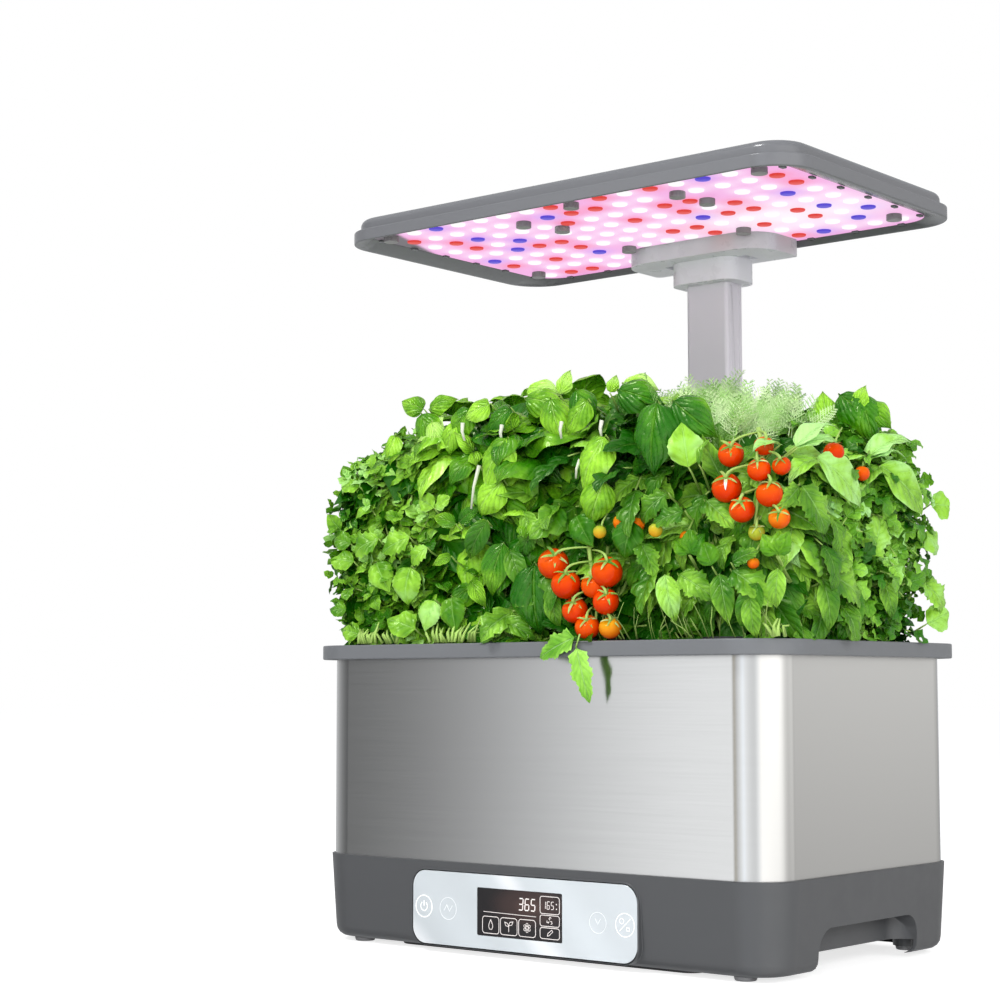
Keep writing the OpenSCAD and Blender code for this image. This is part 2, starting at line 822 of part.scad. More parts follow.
module grow_deck() {
    ring_l = tank_l - 2 * (tank_t + fit);
    ring_w = tank_w - 2 * (tank_t + fit);
    ring_r = tank_r - tank_t - fit;
    hole_z = deck_under - key_ring_h - cut;
    hole_h = deck_z + cut - hole_z;
    color("#7d7f83")
        difference() {
            union() {
                difference() {
                    union() {
                        translate([0, 0, rim_z]) block(rim_l, rim_w, rim_h, rim_r);
                        tongue(0, rim_z, rim_h);
                    }
                    translate([0, 0, rim_z - cut])
                        block(rim_l - 2 * rim_wall, rim_w - 2 * rim_wall, deck_under - rim_z + cut,
                            rim_r - rim_wall);
                    tongue(rim_wall, rim_z - cut, deck_under - rim_z + cut);
                }
                difference() {
                    translate([0, 0, deck_under - key_ring_h])
                        block(ring_l, ring_w, key_ring_h + cut, ring_r);
                    translate([0, 0, deck_under - key_ring_h - cut])
                        block(ring_l - 2 * key_ring_t, ring_w - 2 * key_ring_t, key_ring_h + cut,
                            ring_r - key_ring_t);
                    spine_space(tank_t + 2 * fit, deck_under - key_ring_h - cut, key_ring_h + cut);
                }
                lid_ears();
            }
            for (p = pods)
                translate([p[0], p[1], hole_z]) cylinder(r = pod_r + fit, h = hole_h);
            translate([0, mast_y, hole_z])
                block(outer_l + fit, outer_w + fit, hole_h, outer_r + fit / 2);
            translate([lid_x - port_l / 2, lid_back - lid_w + 3, hole_z])
                cube([port_l, port_w, hole_h]);
            translate([gauge_x, gauge_y, hole_z]) cylinder(r = guide_r + fit, h = hole_h);
        }
}

// The deck's back tongue round the mast, drawn in by a wall
module tongue(wall, z, h) {
    deep = 40;
    translate([0, tongue_back - deep / 2, z])
        block(tongue_l - 2 * wall, deep - 2 * wall, h, tongue_r - wall / 2);
}

// Hinge ears that stand on the deck behind the fill lid
module lid_ears() {
    for (s = [-1, 1])
        translate([lid_x + s * (lid_l / 2 - ear_l / 2 - 1) - ear_l / 2, lid_back, hinge_z])
            rotate([0, 90, 0])
                difference() {
                    union() {
                        cylinder(r = knuckle_r, h = ear_l);
                        translate([0, -knuckle_r, 0]) cube([lid_t + 1, 2 * knuckle_r, ear_l]);
                    }
                    translate([0, 0, -cut]) cylinder(r = lid_pin_r + run_gap, h = ear_l + 2 * cut);
                }
}

module fill_lid() {
    knuckle_l = lid_l - 2 * (ear_l + 1 + knuckle_gap);
    color("#6f7175")
        difference() {
            union() {
                translate([lid_x, lid_back - lid_w / 2 - knuckle_r - knuckle_gap, deck_z + fit])
                    block(lid_l, lid_w, lid_t, 3);
                translate([lid_x, lid_back - lid_w - knuckle_r, deck_z + fit + lid_t])
                    block(14, 3, 1.2, 1.4);
                translate([lid_x - knuckle_l / 2, lid_back, hinge_z])
                    rotate([0, 90, 0]) cylinder(r = knuckle_r - fit, h = knuckle_l);
                translate([lid_x - knuckle_l / 2, lid_back - knuckle_r - 2, deck_z + fit + 0.3])
                    cube([knuckle_l, knuckle_r + 2, lid_t - 0.3]);
            }
            translate([lid_x - lid_l, lid_back, hinge_z])
                rotate([0, 90, 0]) cylinder(r = lid_pin_r + run_gap, h = 2 * lid_l);
        }
}

module fill_lid_pin() {
    color("#b8babd")
        translate([lid_x - lid_l / 2 + 1, lid_back, hinge_z])
            rotate([0, 90, 0]) cylinder(r = lid_pin_r, h = lid_l - 2);
}

module grow_baskets() {
    color("#2c2d30")
        for (p = pods)
            translate([p[0], p[1], deck_z])
                difference() {
                    union() {
                        cylinder(r = pod_flange_r, h = pod_flange_t);
                        translate([0, 0, -pod_h]) cylinder(r1 = pod_end_r, r2 = pod_r, h = pod_h);
                    }
                    translate([0, 0, -pod_h + pod_t])
                        cylinder(r1 = pod_end_r - pod_t, r2 = pod_r - pod_t,
                            h = pod_h + pod_flange_t);
                    for (a = [0, 90])
                        rotate([0, 0, a])
                            translate([-pod_r, -pod_slot / 2, -pod_h + 8])
                                cube([2 * pod_r, pod_slot, pod_h - 18]);
                }
}

module grow_sponges() {
    color("#2a2118")
        for (p = pods)
            translate([p[0], p[1], deck_z - pod_h + pod_t + fit])
                cylinder(r1 = pod_end_r - pod_t - fit, r2 = pod_r - pod_t - 2 * fit,
                    h = sponge_top - deck_z + pod_h - pod_t - fit);
}

// ---------- float gauge ----------

module float_guide() {
    color("#d5dde0")
        translate([gauge_x, gauge_y, 0])
            difference() {
                union() {
                    translate([0, 0, guide_z]) cylinder(r = guide_r, h = guide_h);
                    translate([0, 0, deck_z]) cylinder(r = guide_flange_r, h = guide_flange_t);
                }
                translate([0, 0, guide_z + guide_lip])
                    cylinder(r = guide_r - guide_t, h = guide_h - guide_lip - 2);
                translate([0, 0, guide_z - cut]) cylinder(r = float_r - 2.5, h = guide_lip + 2 * cut);
                cylinder(r = rod_r + fit, h = deck_z + 2 * guide_flange_t);
                translate([-guide_r, -2, guide_z + 8]) cube([2 * guide_r, 4, guide_h - 20]);
            }
}

module float() {
    bottom = guide_z + guide_lip + fit;
    rod_top = deck_z + guide_flange_t + 1;
    color("#d94b35")
        translate([gauge_x, gauge_y, bottom]) {
            cylinder(r = float_r, h = float_h);
            cylinder(r = rod_r, h = rod_top - bottom);
        }
}

// ---------- pump ----------

module pump_body() {
    inside_l = pump_w - chamber_l - 3;
    color("#232427")
        difference() {
            union() {
                translate([pump_x, pump_y, pump_z]) block(pump_l, pump_w, pump_h, 5);
                translate([outlet_x, pump_front + chamber_l / 2, pump_z + pump_h - cut])
                    cylinder(r = outlet_r, h = outlet_h + cut);
            }
            translate([pump_x, pump_front - cut, shaft_z])
                rotate([-90, 0, 0]) {
                    cylinder(r = chamber_r, h = chamber_l + cut);
                    cylinder(r = rotor_r + 1, h = chamber_l + cut + inside_l - 3);
                    cylinder(r = shaft_r + run_gap, h = chamber_l + cut + inside_l);
                }
            translate([outlet_x, pump_front + chamber_l / 2, shaft_z])
                cylinder(r = outlet_r - 1.2, h = pump_h + outlet_h);
        }
}

module pump_cover() {
    color("#232427")
        translate([pump_x, pump_front, pump_z + pump_h / 2])
            rotate([90, 0, 0])
                difference() {
                    block(pump_l - 2, pump_h - 2, intake_t, 4);
                    for (i = [-3 : 3])
                        if (i != 0)
                            translate([i * 5 - 1.2, -9, -cut]) cube([2.4, 18, intake_t + 2 * cut]);
                    translate([0, shaft_z - pump_z - pump_h / 2, -cut])
                        cylinder(r = shaft_r + run_gap, h = cut + intake_t - 1);
                }
}

module pump_impeller() {
    blades = 6;
    color("#e8e8e4")
        translate([pump_x, pump_front + 1.2, shaft_z])
            rotate([-90, 0, 0])
                difference() {
                    union() {
                        cylinder(r = 4, h = 8);
                        for (i = [0 : blades - 1])
                            rotate([0, 0, i * 360 / blades])
                                translate([0, -0.8, 0]) cube([impeller_r, 1.6, 8]);
                        translate([0, 0, 8]) cylinder(r = impeller_r, h = 1.4);
                        translate([0, 0, 9.4]) cylinder(r = rotor_r, h = rotor_l - 2);
                    }
                    translate([0, 0, -cut]) cylinder(r = shaft_r + run_gap, h = rotor_l + 12);
                }
}

module pump_shaft() {
    color("#f0eee6")
        translate([pump_x, pump_front - intake_t + 1.2, shaft_z])
            rotate([-90, 0, 0]) cylinder(r = shaft_r, h = pump_w - 1.6);
}

module pump_suction_cups() {
    color("#d9dcdd")
        translate([pump_x, pump_y, tank_floor])
            corners(pump_l / 2 - cup_r - 1, pump_w / 2 - cup_r - 1) {
                cylinder(r1 = cup_r, r2 = 2.5, h = 3);
                cylinder(r = 2.5, h = cup_h);
            }
}

module pump_hose() {
    inner = outlet_r + 0.1;
    outer = inner + hose_t;
    z0 = pump_z + pump_h + 3;
    color("#cfd6d8")
        translate([outlet_x, pump_front + chamber_l / 2, z0]) {
            difference() {
                cylinder(r = outer, h = hose_rise);
                translate([0, 0, -cut]) cylinder(r = inner, h = hose_rise + 2 * cut);
            }
            translate([hose_bend, 0, hose_rise])
                rotate([90, 0, 0])
                    rotate([0, 0, 90])
                        rotate_extrude(angle = 90)
                            translate([hose_bend, 0])
                                difference() {
                                    circle(outer);
                                    circle(inner);
                                }
            translate([hose_bend, 0, hose_rise + hose_bend])
                rotate([0, 90, 0])
                    difference() {
                        cylinder(r = outer, h = 18);
                        translate([0, 0, -cut]) cylinder(r = inner, h = 18 + 2 * cut);
                    }
        }
}

module pump_grommet() {
    waist = grommet_r - grommet_lip - 0.1;
    color("#3a3a3a")
        translate([grommet_x, grommet_y, 0])
            difference() {
                union() {
                    translate([0, 0, floor_under]) cylinder(r = grommet_r - 0.1, h = floor_t);
                    translate([0, 0, seat_z]) cylinder(r = waist, h = tank_t);
                    translate([0, 0, tank_floor]) cylinder(r = grommet_r, h = 2);
                }
                translate([0, 0, floor_under - cut])
                    cylinder(r = lead_r + 0.2, h = floor_t + tank_t + 4);
            }
}

module pump_lead() {
    color("#2a2a2c") lead(pump_route, lead_r);
}

// ---------- mast ----------

module mast_outer() {
    color("#c9c8cc")
        translate([0, mast_y, socket_floor_z])
            difference() {
                block(outer_l, outer_w, outer_top - socket_floor_z, outer_r);
                translate([0, 0, -cut])
                    block(outer_in_l, outer_in_w, outer_top, outer_r - outer_t);
            }
}

module mast_collar() {
    socket = collar_h - collar_lip;
    color("#a9a9ae")
        translate([0, mast_y, outer_top - socket])
            difference() {
                block(outer_l + 2 * collar_t, outer_w + 2 * collar_t, collar_h, outer_r + collar_t);
                translate([0, 0, -cut])
                    block(outer_l + 0.2, outer_w + 0.2, socket + cut, outer_r + 0.1);
                block(mast_l + 2 * slide_gap, mast_w + 2 * slide_gap, collar_h + cut,
                    mast_r + slide_gap);
            }
}

module mast_inner() {
    groove = 1.2;
    color("#b9b8bd")
        translate([0, mast_y, mast_bottom])
            difference() {
                block(mast_l, mast_w, mast_top - mast_bottom, mast_r);
                translate([0, 0, -cut])
                    block(mast_l - 2 * mast_t, mast_w - 2 * mast_t, mast_top, mast_r - mast_t / 2);
                for (sx = [-1, 1], y = [-5, 5])
                    translate([sx * mast_l / 2 - 0.5, y - groove / 2, glide_h + cut])
                        cube([1, groove, hub_z - hub_drop - mast_bottom - glide_h - 2 * cut]);
            }
}

module mast_glides() {
    color("#e6e6e2")
        translate([0, mast_y, mast_bottom])
            difference() {
                block(mast_l + 2 * glide_t, mast_w + 2 * glide_t, glide_h, mast_r + glide_t);
                translate([0, 0, -cut]) block(mast_l + 0.1, mast_w + 0.1, glide_h + 2 * cut, mast_r);
            }
}

module lead_socket() {
    color("#1c1c1e")
        translate([0, mast_y, socket_floor_z - socket_floor_t])
            difference() {
                cylinder(r = lead_hole_r - 0.1, h = socket_floor_t + 6);
                translate([0, 0, 2]) cylinder(r = lead_hole_r - 1.6, h = 20);
            }
}

module curly_lead() {
    color("#2a2a2c")
        translate([0, mast_y, socket_floor_z + 6.2])
            cylinder(r = lead_hole_r - 2, h = mast_bottom - socket_floor_z + 14);
}

module lamp_lead() {
    start = mast_bottom + 20.4;
    color("#2a2a2c")
        translate([0, mast_y, start]) cylinder(r = lead_r, h = board_z - start - 0.2);
}

// ---------- lamp ----------

module hub_bracket() {
    deep = hub_back - hub_front;
    back_r = 4;
    color("#b3b2b8")
        difference() {
            union() {
                translate([0, hub_front + deep / 2, hub_z])
                    linear_extrude(hub_h) {
                        translate([0, hub_r / 2 - back_r / 2])
                            square([hub_l, deep - hub_r - back_r], center = true);
                        translate([0, -deep / 2 + hub_r / 2])
                            square([hub_l - 2 * hub_r, hub_r], center = true);
                        translate([0, deep / 2 - back_r / 2])
                            square([hub_l - 2 * back_r, back_r], center = true);
                        for (s = [-1, 1]) {
                            translate([s * (hub_l / 2 - hub_r), hub_r - deep / 2]) circle(hub_r);
                            translate([s * (hub_l / 2 - back_r), deep / 2 - back_r]) circle(back_r);
                        }
                    }
                translate([0, mast_y + (hub_collar_aft - hub_collar_fore) / 2, hub_z - hub_drop])
                    block(hub_collar_l, hub_collar_fore + hub_collar_aft, hub_drop + cut,
                        mast_r + hub_wall);
            }
            translate([0, mast_y, hub_z - hub_drop - cut])
                block(mast_l + fit, mast_w + fit, hub_socket_h + cut, mast_r + fit / 2);
            translate([0, mast_y, hub_z]) cylinder(r = lead_hole_r, h = hub_h + cut);
            for (s = [-1, 1])
                translate([s * (hub_collar_l / 2 + 4) - 4, mast_y - 12, hub_z - cut])
                    cube([8, 16, 4 + cut]);
            for (s = [-1, 1], y = hub_screw_y)
                translate([s * hub_screw_x, y, hub_z - cut]) {
                    cylinder(r = screw_r + 0.2, h = hub_h + 2 * cut);
                    cylinder(r = screw_head_r + 0.4, h = cut + screw_head_h + 1);
                }
        }
}

module hub_screws() {
    color("#b8babd")
        for (s = [-1, 1], y = hub_screw_y)
            translate([s * hub_screw_x, y, hub_z + screw_head_h + 1])
                screw(hub_screw_l);
}

module lamp_bezel() {
    open_l = lamp_l - 2 * end_flange;
    open_w = lamp_w - 2 * side_flange;
    foot_edge = 1.8;
    color("#7d8084")
        translate([0, lamp_y, lamp_z])
            difference() {
                block(lamp_l, lamp_w, band_h, lamp_r);
                translate([0, 0, board_step])
                    block(lamp_l - 2 * band_t, lamp_w - 2 * band_t, band_h, lamp_r - band_t);
                hull() {
                    translate([0, 0, -0.1])
                        linear_extrude(0.1)
                            outline(lamp_l - 8, lamp_w - 2 * foot_edge, lamp_r - 3);
                    translate([0, 0, board_step])
                        linear_extrude(0.1) outline(open_l, open_w, lamp_r - 8);
                }
            }
}

// A block whose top edge is rounded
module soft_block(l, w, h, r, edge) {
    low = h - edge;
    block(l, w, low, r);
    translate([0, 0, low - cut]) block(l - 2 * edge, w - 2 * edge, edge + cut, r - edge);
    for (m = [0, 1]) {
        mirror([0, m, 0])
            translate([r - l / 2, w / 2 - edge, low])
                rotate([0, 90, 0]) cylinder(r = edge, h = l - 2 * r);
        mirror([m, 0, 0])
            translate([l / 2 - edge, r - w / 2, low])
                rotate([-90, 0, 0]) cylinder(r = edge, h = w - 2 * r);
        for (n = [0, 1])
            mirror([m, 0, 0])
                mirror([0, n, 0])
                    translate([l / 2 - r, w / 2 - r, low])
                        rotate_extrude(angle = 90) translate([r - edge, 0]) circle(edge);
    }
}

module lamp_cover() {
    inner_l = lamp_l - 2 * (cover_inset + lamp_cover_t);
    inner_w = lamp_w - 2 * (cover_inset + lamp_cover_t);
    inner_r = lamp_r - cover_inset - lamp_cover_t;
    seat = board_z + board_t;
    color("#8a8d92")
        difference() {
            union() {
                difference() {
                    union() {
                        translate([0, lamp_y, cover_zb])
                            soft_block(lamp_l - 2 * cover_inset, lamp_w - 2 * cover_inset,
                                cover_h, lamp_r - cover_inset, cover_edge);
                        translate([0, lamp_y, seat])
                            block(lamp_l - 2 * (band_t + fit), lamp_w - 2 * (band_t + fit),
                                cover_zb - seat, lamp_r - band_t - fit);
                    }
                    translate([0, lamp_y, seat - cut])
                        block(inner_l, inner_w, cover_zb - seat + cover_h - lamp_cover_t + cut - 0.6,
                            inner_r - 2);
                }
                for (s = [-1, 1], y = hub_screw_y)
                    translate([s * hub_screw_x, y, seat])
                        cylinder(r = screw_boss_r, h = cover_zb + cover_h - seat - 2);
            }
            for (s = [-1, 1], y = hub_screw_y)
                translate([s * hub_screw_x, y, seat - cut])
                    cylinder(r = screw_r + run_gap, h = cut + hub_screw_end + 0.4);
        }
}

module led_board() {
    color("#f4dcec")
        difference() {
            translate([0, lamp_y, board_z]) block(board_l, board_w, board_t, board_r);
            for (s = [-1, 1], y = hub_screw_y)
                translate([s * hub_screw_x, y, board_z - cut])
                    cylinder(r = screw_r + 0.2, h = board_t + 2 * cut);
        }
}

// Whether an LED is clear of the hub and of the standoffs
function led_clear(x, y) =
    (abs(x) > hub_l / 2 + led_d / 2 || y < hub_front - led_d / 2)
    && min([for (s = standoffs) norm([x, y] - s)]) > led_d / 2 + standoff_r + fit;

// Colour of an LED by its place in the grid: 0 white, 1 red, 2 blue
function led_kind(i, j) =
    let (k = (i * 7 + j * 5 + (i * j) % 3) % 11)
    k == 3 ? 2 : (k == 0 || k == 5 || k == 8 ? 1 : 0);

module led_lenses(kind) {
    for (i = [0 : led_cols - 1], j = [0 : led_rows - 1]) {
        x = (i - (led_cols - 1) / 2) * led_pitch_x;
        y = lamp_y + (j - (led_rows - 1) / 2) * led_pitch_y;
        if (led_kind(i, j) == kind && led_clear(x, y))
            translate([x, y, board_z - led_h]) cylinder(r = led_d / 2, h = led_h);
    }
}

module led_lenses_white() {
    color("#ffffff") led_lenses(0);
}

module led_lenses_red() {
    color("#e8453c") led_lenses(1);
}

module led_lenses_blue() {
    color("#4a3fd0") led_lenses(2);
}

module board_standoffs() {
    color("#6b6b70")
        for (s = standoffs)
            translate([s[0], s[1], board_z - standoff_h]) cylinder(r = standoff_r, h = standoff_h);
}

// ---------- plants ----------

// A plant's canopy fills its cell above the deck, drawn in at the foot, rounded at the top and
// sloped down towards the planter's ends
module plant(col, row, share, front, shade) {
    x0 = col_edges[col] + leaf_gap;
    x1 = col_edges[col + 1] - leaf_gap;
    y0 = (row == 0 ? front : row_edges[row]) + leaf_gap;
    y1 = row_edges[row + 1] - leaf_gap;
    high = deck_z + leaf_top * share;
    ball = 14;
    knee = 36;
    left = ball + (col == 0 ? knee : 4);
    right = ball + (col == len(col_edges) - 2 ? knee : 4);
    p = pods[row * pod_cols + col];
    color(shade) {
        hull() {
            for (x = [x0 + ball, x1 - ball], y = [y0 + ball, y1 - ball]) {
                translate([x, y, leaf_low]) cylinder(r = ball - 3, h = 1, $fn = 24);
                translate([x, y, leaf_low + 24])
                    cylinder(r = ball, h = high - leaf_low - 24 - knee, $fn = 24);
            }
            for (x = [x0 + left, x1 - right], y = [y0 + ball + 4, y1 - ball - 4])
                translate([x, y, high - ball]) sphere(r = ball, $fn = 24);
        }
        translate([p[0], p[1], sponge_top + fit])
            cylinder(r = stem_r, h = leaf_low - sponge_top + 10, $fn = 24);
    }
}

module plant_mint_front() { plant(0, 0, 0.84, leaf_front, "#5fae3c"); }
module plant_basil_front() { plant(1, 0, 0.89, basil_leaf_y, "#3f8f2c"); }
module plant_tomato_front() { plant(2, 0, 0.85, front_leaf_y, "#4a8a3a"); }
module plant_tomato_right() { plant(3, 0, 0.76, right_leaf_y, "#56983f"); }
module plant_mint_mid() { plant(0, 1, 0.91, 0, "#5fae3c"); }
module plant_basil_mid() { plant(1, 1, 0.97, 0, "#3a8a2a"); }
module plant_tomato_mid() { plant(2, 1, 0.92, 0, "#4a8a3a"); }
module plant_parsley_mid() { plant(3, 1, 0.82, 0, "#4f9a38"); }
module plant_lettuce_back() { plant(0, 2, 0.88, 0, "#6cb848"); }
module plant_basil_back() { plant(1, 2, 1, 0, "#3a8a2a"); }
module plant_dill_back() { plant(2, 2, 0.93, 0, "#7fae6a"); }
module plant_parsley_back() { plant(3, 2, 0.86, 0, "#4f9a38"); }

// Fruit hang on short stalks from one stem, which grows out of the front of its plant
module truss(fruit, stem, leaf_y) {
    top = max([for (f = fruit) f[2]]) + 8;
    low = min([for (f = fruit) f[2]]);
    stalk = top - 14;
    translate([stem[0], stem[1], deck_z]) {
        rod([0, 0, low], [0, 0, top], truss_r);
        rod([0, 0, stalk], [0, leaf_y - stem[1], stalk], truss_r);
        for (f = fruit) {
            translate([f[0], f[1], f[2]]) hull() sphere(r = f[3], $fn = 16);
            rod([f[0], f[1], f[2]], [0, 0, f[2] + 6], stalk_r);
        }
    }
}

module tomato_trusses() {
    color("#e2492a") {
        truss(front_truss, front_stem, front_leaf_y + leaf_gap);
        truss(right_truss, right_stem, right_leaf_y + leaf_gap);
    }
}

base_housing();
bottom_cover();
feet();
housing_screws();
control_fascia();
display_window();
display_module();
touch_board();
touch_springs();
control_board();
ribbon_cable();
power_socket();
power_lead();
steel_sleeve();
rear_spine();
water_tank();
grow_deck();
grow_baskets();
grow_sponges();
fill_lid();
fill_lid_pin();
float_guide();
float();
pump_body();
pump_cover();
pump_impeller();
pump_shaft();
pump_suction_cups();
pump_hose();
pump_grommet();
pump_lead();
mast_outer();
mast_collar();
mast_inner();
mast_glides();
lead_socket();
curly_lead();
lamp_lead();
hub_bracket();
hub_screws();
lamp_bezel();
lamp_cover();
led_board();
led_lenses_white();
led_lenses_red();
led_lenses_blue();
board_standoffs();
plant_mint_front();
plant_basil_front();
plant_tomato_front();
plant_tomato_right();
plant_mint_mid();
plant_basil_mid();
plant_tomato_mid();
plant_parsley_mid();
plant_lettuce_back();
plant_basil_back();
plant_dill_back();
plant_parsley_back();
tomato_trusses();
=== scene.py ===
"""Countertop hydroponic garden: finishes for the planter, the lamp and its mast, with herbs and tomatoes."""

import math

import bmesh
import bpy
import numpy as np
from bpy.props import FloatProperty, FloatVectorProperty, IntProperty, PointerProperty
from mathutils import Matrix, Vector


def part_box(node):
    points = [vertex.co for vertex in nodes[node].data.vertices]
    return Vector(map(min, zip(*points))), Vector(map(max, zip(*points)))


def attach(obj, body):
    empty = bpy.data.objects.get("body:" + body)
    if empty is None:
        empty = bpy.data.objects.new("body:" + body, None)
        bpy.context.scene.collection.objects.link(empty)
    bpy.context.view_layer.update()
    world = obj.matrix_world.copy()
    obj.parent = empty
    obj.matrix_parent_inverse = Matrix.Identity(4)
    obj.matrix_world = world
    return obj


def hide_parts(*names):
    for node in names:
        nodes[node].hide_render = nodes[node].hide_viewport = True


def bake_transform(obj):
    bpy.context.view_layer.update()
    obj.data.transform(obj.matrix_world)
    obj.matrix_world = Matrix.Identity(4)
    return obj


bl_info = {
    "name": "Countertop Garden",
    "version": (1, 0, 0),
    "blender": (4, 5, 0),
    "location": "View3D > Sidebar > Garden",
    "description": "Finishes a countertop hydroponic garden and grows its herbs and tomatoes",
    "category": "Add Mesh",
}

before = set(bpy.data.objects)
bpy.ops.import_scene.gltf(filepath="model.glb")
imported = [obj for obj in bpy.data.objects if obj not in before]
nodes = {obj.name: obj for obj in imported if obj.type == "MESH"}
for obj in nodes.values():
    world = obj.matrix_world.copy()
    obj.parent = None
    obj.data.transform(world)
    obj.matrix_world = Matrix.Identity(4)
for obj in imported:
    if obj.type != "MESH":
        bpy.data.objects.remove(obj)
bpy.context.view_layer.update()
MM = 0.001
SHORTEST_EDGE = 0.4 * MM  # shorter edges stay sharp
SHARP = 40  # degrees between two faces, from where their edge is rounded


# ---------- settings ----------

def colour_of(name, text, value):
    """A colour that the panel shows."""
    return FloatVectorProperty(name=name, description=text, subtype="COLOR", size=3, min=0, max=1,
                               default=value)


def length_of(name, text, value, low, high):
    """A length that the panel shows, in metres."""
    return FloatProperty(name=name, description=text, default=value, min=low, max=high, unit="LENGTH",
                         precision=4)


class GardenSizes(bpy.types.PropertyGroup):
    edge_round: length_of("Edge round", "Radius on the sharp edges of moulded parts", 0.0005, 0.0001, 0.002)
    sheet_edge: length_of("Sheet edge", "Radius along the edge of the steel sheet", 0.0002, 0.00005, 0.0004)
    mark_depth: length_of("Mark depth", "How far a printed mark stands proud", 0.0001, 0.00003, 0.0003)
    lens_crown: length_of("Lens crown", "Radius round the face of an LED lens", 0.0007, 0.0002, 0.0015)
    glow_step: length_of("Glow step", "Spacing of the LED board's lit colours", 0.0026, 0.001, 0.008)
    lead_wire: length_of("Lead wire", "Radius of the curly lead's wire", 0.0014, 0.0008, 0.002)
    lead_turns: IntProperty(name="Lead turns", description="Turns in the curly lead", default=40, min=8,
                            max=60)
    leafage: FloatProperty(name="Leafage", description="Sprigs on each plant, as a share of full growth",
                           default=1.0, min=0.2, max=1.5, subtype="FACTOR")
    basil_leaf: length_of("Basil leaf", "Length of a full-grown basil leaf", 0.056, 0.03, 0.07)
    mint_leaf: length_of("Mint leaf", "Length of a full-grown mint leaf", 0.017, 0.01, 0.03)
    tomato_leaf: length_of("Tomato leaflet", "Length of a leaflet of a tomato leaf", 0.034, 0.02, 0.05)
    parsley_leaf: length_of("Parsley leaflet", "Length of a leaflet of a parsley leaf", 0.0125, 0.01, 0.03)
    dill_frond: length_of("Dill frond", "Length of a dill frond", 0.058, 0.03, 0.08)


class GardenColours(bpy.types.PropertyGroup):
    base: colour_of("Base", "Moulded base housing", (0.077, 0.080, 0.085))
    rim: colour_of("Rim", "Rim band of the grow deck", (0.162, 0.170, 0.182))
    lamp: colour_of("Lamp", "Lamp bezel and cover", (0.163, 0.167, 0.180))
    mast: colour_of("Mast", "Telescopic mast", (0.70, 0.67, 0.735))
    hub: colour_of("Hub", "Hub under the lamp", (0.84, 0.83, 0.89))
    steel: colour_of("Steel", "Brushed steel sleeve", (0.62, 0.62, 0.61))
    fascia: colour_of("Fascia", "Glossy control fascia", (0.76, 0.82, 0.86))
    board: colour_of("Board", "Face of the LED board", (0.93, 0.62, 0.86))
    basil: colour_of("Basil", "Basil leaves", (0.118, 0.345, 0.008))
    mint: colour_of("Mint", "Mint leaves", (0.100, 0.30, 0.008))
    tomato_green: colour_of("Tomato leaf", "Leaves of the tomato plants", (0.088, 0.26, 0.012))
    parsley: colour_of("Parsley", "Parsley leaves", (0.098, 0.305, 0.013))
    dill: colour_of("Dill", "Dill fronds", (0.33, 0.62, 0.16))
    lettuce: colour_of("Lettuce", "Leaf lettuce", (0.13, 0.36, 0.014))
    fruit: colour_of("Fruit", "Ripe cherry tomatoes", (0.72, 0.034, 0.0))


# ---------- workbench ----------

def rest_mode():
    """Leaves edit mode and deselects every object."""
    if bpy.context.object and bpy.context.object.mode != "OBJECT":
        bpy.ops.object.mode_set(mode="OBJECT")
    bpy.ops.object.select_all(action="DESELECT")


def choose(obj):
    """Makes obj the one selected, active object."""
    rest_mode()
    obj.select_set(True)
    bpy.context.view_layer.objects.active = obj


def edit(obj):
    """Opens obj in edit mode with everything selected."""
    choose(obj)
    bpy.ops.object.mode_set(mode="EDIT")
    bpy.ops.mesh.select_all(action="SELECT")


def press(obj, kind, **settings):
    """Adds one modifier to obj and applies it."""
    choose(obj)
    modifier = obj.modifiers.new(kind.title(), kind)
    for key, value in settings.items():
        setattr(modifier, key, value)
    bpy.ops.object.modifier_apply(modifier=modifier.name)


def settle(obj, angle=35):
    """Smooths obj's shading below the angle and puts its place into its mesh."""
    choose(obj)
    bpy.ops.object.transform_apply(location=True, rotation=True, scale=True)
    bpy.ops.object.shade_smooth_by_angle(angle=math.radians(angle))


def named(obj, name):
    """Gives obj and its mesh one name."""
    obj.name = name
    obj.data.name = name
    return obj


def dress(obj, *finishes):
    """Gives obj its finishes, in the order of its face material numbers."""
    if obj.data.materials:
        obj.data.materials.clear()
    for finish in finishes:
        obj.data.materials.append(finish)


def mount(obj, body, slot, *replaced):
    """Rides obj on its body, names its finish slot and lets it stand for CAD nodes."""
    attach(obj, body)
    if replaced:
        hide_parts(*replaced)


